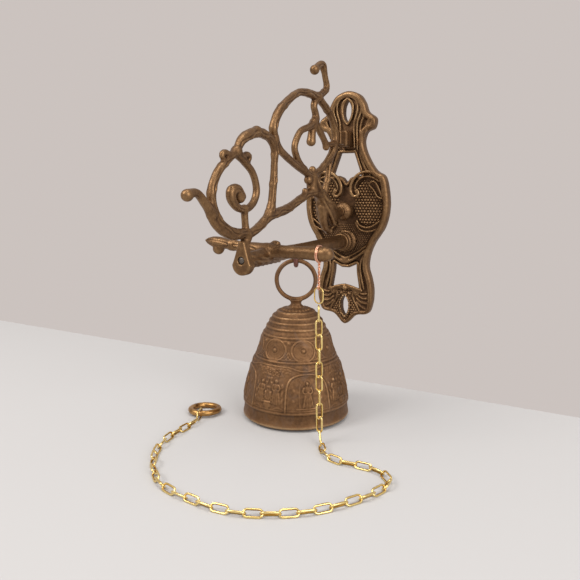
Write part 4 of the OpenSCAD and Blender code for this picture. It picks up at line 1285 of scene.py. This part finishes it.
def make_crown():
    """The big ring and the flared neck that it stands on."""
    cast = Cast((-17.6, -120.4, -79.6), (17.6, -101.6, -36.7), 0.36)
    a = np.radians(np.arange(-90, 271, 6))
    path = bell_at(np.stack([17 * np.cos(a), 0 * a, RING_Z + 17 * np.sin(a)], 1))
    thick = 1.9 + 0.06 * np.sin(3 * a) + 0.1 * np.exp(-(((a + math.pi / 2) / 0.5) ** 2))
    cast.strand(path, np.minimum(thick, 1.98), 1.0)
    cut, (x, y, z) = cast.part((-10, -BELL_T - 10, -82), (10, -BELL_T + 10, -70))
    across = np.hypot(x, y + BELL_T)
    neck = [(6.9, -79.6), (6.2, -78.6), (5.0, -77.6), (4.6, -76.2), (4.7, -75), (5.2, -73.8), (5.4, -73.2)]
    radius = np.interp(-z, [-q[1] for q in neck][::-1], [q[0] for q in neck][::-1])
    turn = np.arctan2(y + BELL_T, x)
    flutes = 0.22 * np.cos(10 * turn) * np.clip((-z - 76.4) / 2, 0, 1)
    cast.add(cut, np.maximum(np.maximum(across - radius + flutes, z + 72.9), -79.5 - z) * 0.9, 1.6)
    cast.make("crown_ring_casting", "bell", "bell_bronze", BELL, ["crown_ring"], 2, 0.05, 29, 8)


make_crown()


def wire(name, body, slot, material, nodes, runs, radius, sides=14):
    """A piece made of round wires along the runs, in millimetres."""
    shape = Shape()
    for run in runs:
        shape.tube(np.asarray(run, float) * MM, radius * MM, sides, (1, 0, 0))
    return shape.make(name, body, slot, material, nodes)


def bend(half, low, top):
    """A U of wire: two legs half apart from the middle, and a round bend whose middle is low."""
    legs = np.linspace(top, low, 8)[:-1]
    a = np.linspace(0, math.pi, 20)
    side = [(0, -half, z) for z in legs] + [(0, -half * math.cos(q), low - half * math.sin(q)) for q in a]
    return np.array(side + [(0, half, z) for z in legs[::-1]])


def make_hangings():
    hook_z = RING_Z + 17 - 2 - 2 - 0.15
    path = bell_at(bend(4.6, hook_z + 4.6, SHAFT_Z + 1.4))
    path = path + 0.05 * np.stack([ripple(path, 6, 31), ripple(path, 6, 32), 0 * path[:, 0]], 1)
    wire("hook_wire", "rocker", "hook_iron", RUST, ["bell_hook"], [path], 1.93, 18)
    wire("staple_wire", "bell", "clapper_iron", IRON, ["clapper_staple"],
         [bell_at(bend(4.5, -93, -82.4))], 1.46, 16)
    # The clapper: an eye, a rod and a ball with a nub
    shape = Shape()
    a = np.linspace(0, 2 * math.pi, 40, endpoint=False)
    eye = bell_at(np.stack([3.2 * np.cos(a), 0 * a, -97.5 + 3.2 * np.sin(a)], 1)) * MM
    side = bell_at([(0, 1, 0)])[0] - bell_at([(0, 0, 0)])[0]
    shape.ring(eye, 1.55 * MM, 14, up=side)
    rod = [(0, -BELL_T, z) for z in np.linspace(-100.6, -147.6, 24)]
    shape.tube(np.array(rod) * MM, 1.42 * MM * (1 + 0.03 * np.sin(np.arange(24) * 1.7)), 16)
    shape.make("clapper_shank", "clapper", "clapper_iron", IRON, ["clapper_rod"])
    cast = Cast((-8.6, -BELL_T - 8.6, -167.1), (8.6, -BELL_T + 8.6, -146.9), 0.5)
    cast.ball((0, -BELL_T, -155.5), 8.3, 0)
    cast.strand([(0, -BELL_T, -160), (0, -BELL_T, -164.3)], (3.2, 2.7), 1.6)
    cut, (x, y, z) = cast.part((-4, -BELL_T - 4, -149), (4, -BELL_T + 4, -146))
    cast.cut_away(cut, np.maximum(np.hypot(x, y + BELL_T) - 1.5, -148 - z))
    cast.make("clapper_bob", "clapper", "clapper_iron", IRON, ["clapper_ball"], 2, 0.09, 37, 6)


make_hangings()


# ---------------------------------------------------------------- wire, link and pins
def make_tie():
    """Copper wire: two turns round the arm, a twisted tail with a stray end, and a loop round the link."""
    x0, y0 = TIE_AT[0] / MM, TIE_AT[1] / MM
    a = np.linspace(-math.pi / 2, 3.5 * math.pi, 90)
    coil = np.stack([x0 - 1.15 + 2.3 * (a + math.pi / 2) / (4 * math.pi) + 0.12 * np.sin(3 * a),
                     y0 + 6.3 * np.cos(a), BEAM_Z + 6.3 * np.sin(a)], 1)
    runs = [coil]
    z = np.linspace(-31.8, -50.9, 70)
    for phase in (0, math.pi):
        q = phase + (z + 31.8) * 1.12
        wide = 0.52 * np.clip((-31.2 - z) / 1.5, 0.4, 1)
        runs.append(np.stack([x0 + wide * np.cos(q), y0 + wide * np.sin(q), z], 1))
    stray = smooth([(x0 + 0.5, y0 - 0.2, -37), (x0 + 0.95, y0 - 0.75, -38.6), (x0 + 0.9, y0 - 0.6, -41)], 6)
    runs.append(stray)
    a = np.linspace(-math.pi / 2 - 2.9, -math.pi / 2 + 2.9, 30)
    runs.append(np.stack([x0 + 0 * a, y0 + 1.7 * np.cos(a), -51.7 + 1.7 * np.sin(a)], 1))
    wire("tie_wire_copper", "rocker", "copper_wire", COPPER, ["tie_wire"], runs, 0.56, 10)
    shape = Shape()
    low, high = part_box("tie_link")
    middle = (np.array(low) + high) / 2
    up, along = np.array([0, 1.0, 0]), np.array([0, 0, 1.0])
    line = link_points(
        middle, along, np.array([1.0, 0, 0]), 13.45 * MM - 1.08 * MM, 8.35 * MM - 1.08 * MM, 14)
    shape.ring(line, 0.54 * MM, 12, up=up)
    shape.make("wide_link", "rocker", "chain_gold", GOLD, ["tie_link"])


def make_pins():
    for name, node in (("rear_pin", "rear_pivot_pin"), ("front_pin", "front_pivot_pin")):
        low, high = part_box(node)
        shape = Shape()
        y = np.linspace(high[1], low[1], 40)
        r = 2.58 * MM * np.ones(40)
        r[[0, -1]] = 2.0 * MM
        r[[1, -2]] = 2.4 * MM
        y[1], y[-2] = y[0] - 0.3 * MM, y[-1] + 0.3 * MM
        a = np.linspace(0, 2 * math.pi, 28, endpoint=False)
        rows = np.stack(np.broadcast_arrays(
            r[:, None] * np.cos(a), y[:, None], SHAFT_Z * MM + r[:, None] * np.sin(a)), -1)
        shape.grid(rows)
        shape.make(name, "rocker", "pin_steel", STEEL, [node])


make_tie()
make_pins()


# ---------------------------------------------------------------- floor and light
def make_stage():
    mesh = bpy.data.meshes.new("floor")
    corners = [(-2, -2.5, TABLE_Z), (2, -2.5, TABLE_Z), (2, 0, TABLE_Z), (-2, 0, TABLE_Z)]
    mesh.from_pydata(corners, [], [(0, 1, 2, 3)])
    floor = bpy.data.objects.new("floor", mesh)
    bpy.context.scene.collection.objects.link(floor)
    m, _, _, shader = new_material("floor")
    shader.inputs["Base Color"].default_value = (0.535, 0.54, 0.545, 1)
    shader.inputs["Roughness"].default_value = 0.9
    mesh.materials.append(m)
    world = bpy.data.worlds.new("studio")
    bpy.context.scene.world = world
    world.use_nodes = True
    world.node_tree.nodes["Background"].inputs[0].default_value = (0.60, 0.545, 0.52, 1)
    world.node_tree.nodes["Background"].inputs[1].default_value = 1.0
    for name, place, aim, size, power, colour in (
        ("key", (-0.9, -1.3, 1.3), (0, -0.1, -0.05), 0.9, 20, (1.0, 0.97, 0.93)),
        ("fill", (1.5, -0.9, 0.7), (0, -0.1, -0.05), 1.1, 17, (1.0, 0.98, 0.96)),
        ("top", (0.1, -0.3, 1.5), (0, -0.1, 0), 0.7, 8, (1.0, 0.98, 0.96)),
    ):
        data = bpy.data.lights.new(name, "AREA")
        data.size, data.energy, data.color = size, power, colour
        lamp = bpy.data.objects.new(name, data)
        bpy.context.scene.collection.objects.link(lamp)
        lamp.location = place
        lamp.rotation_euler = (Vector(aim) - Vector(place)).to_track_quat("-Z", "Y").to_euler()
    bpy.context.scene.view_settings.view_transform = "Standard"


make_stage()
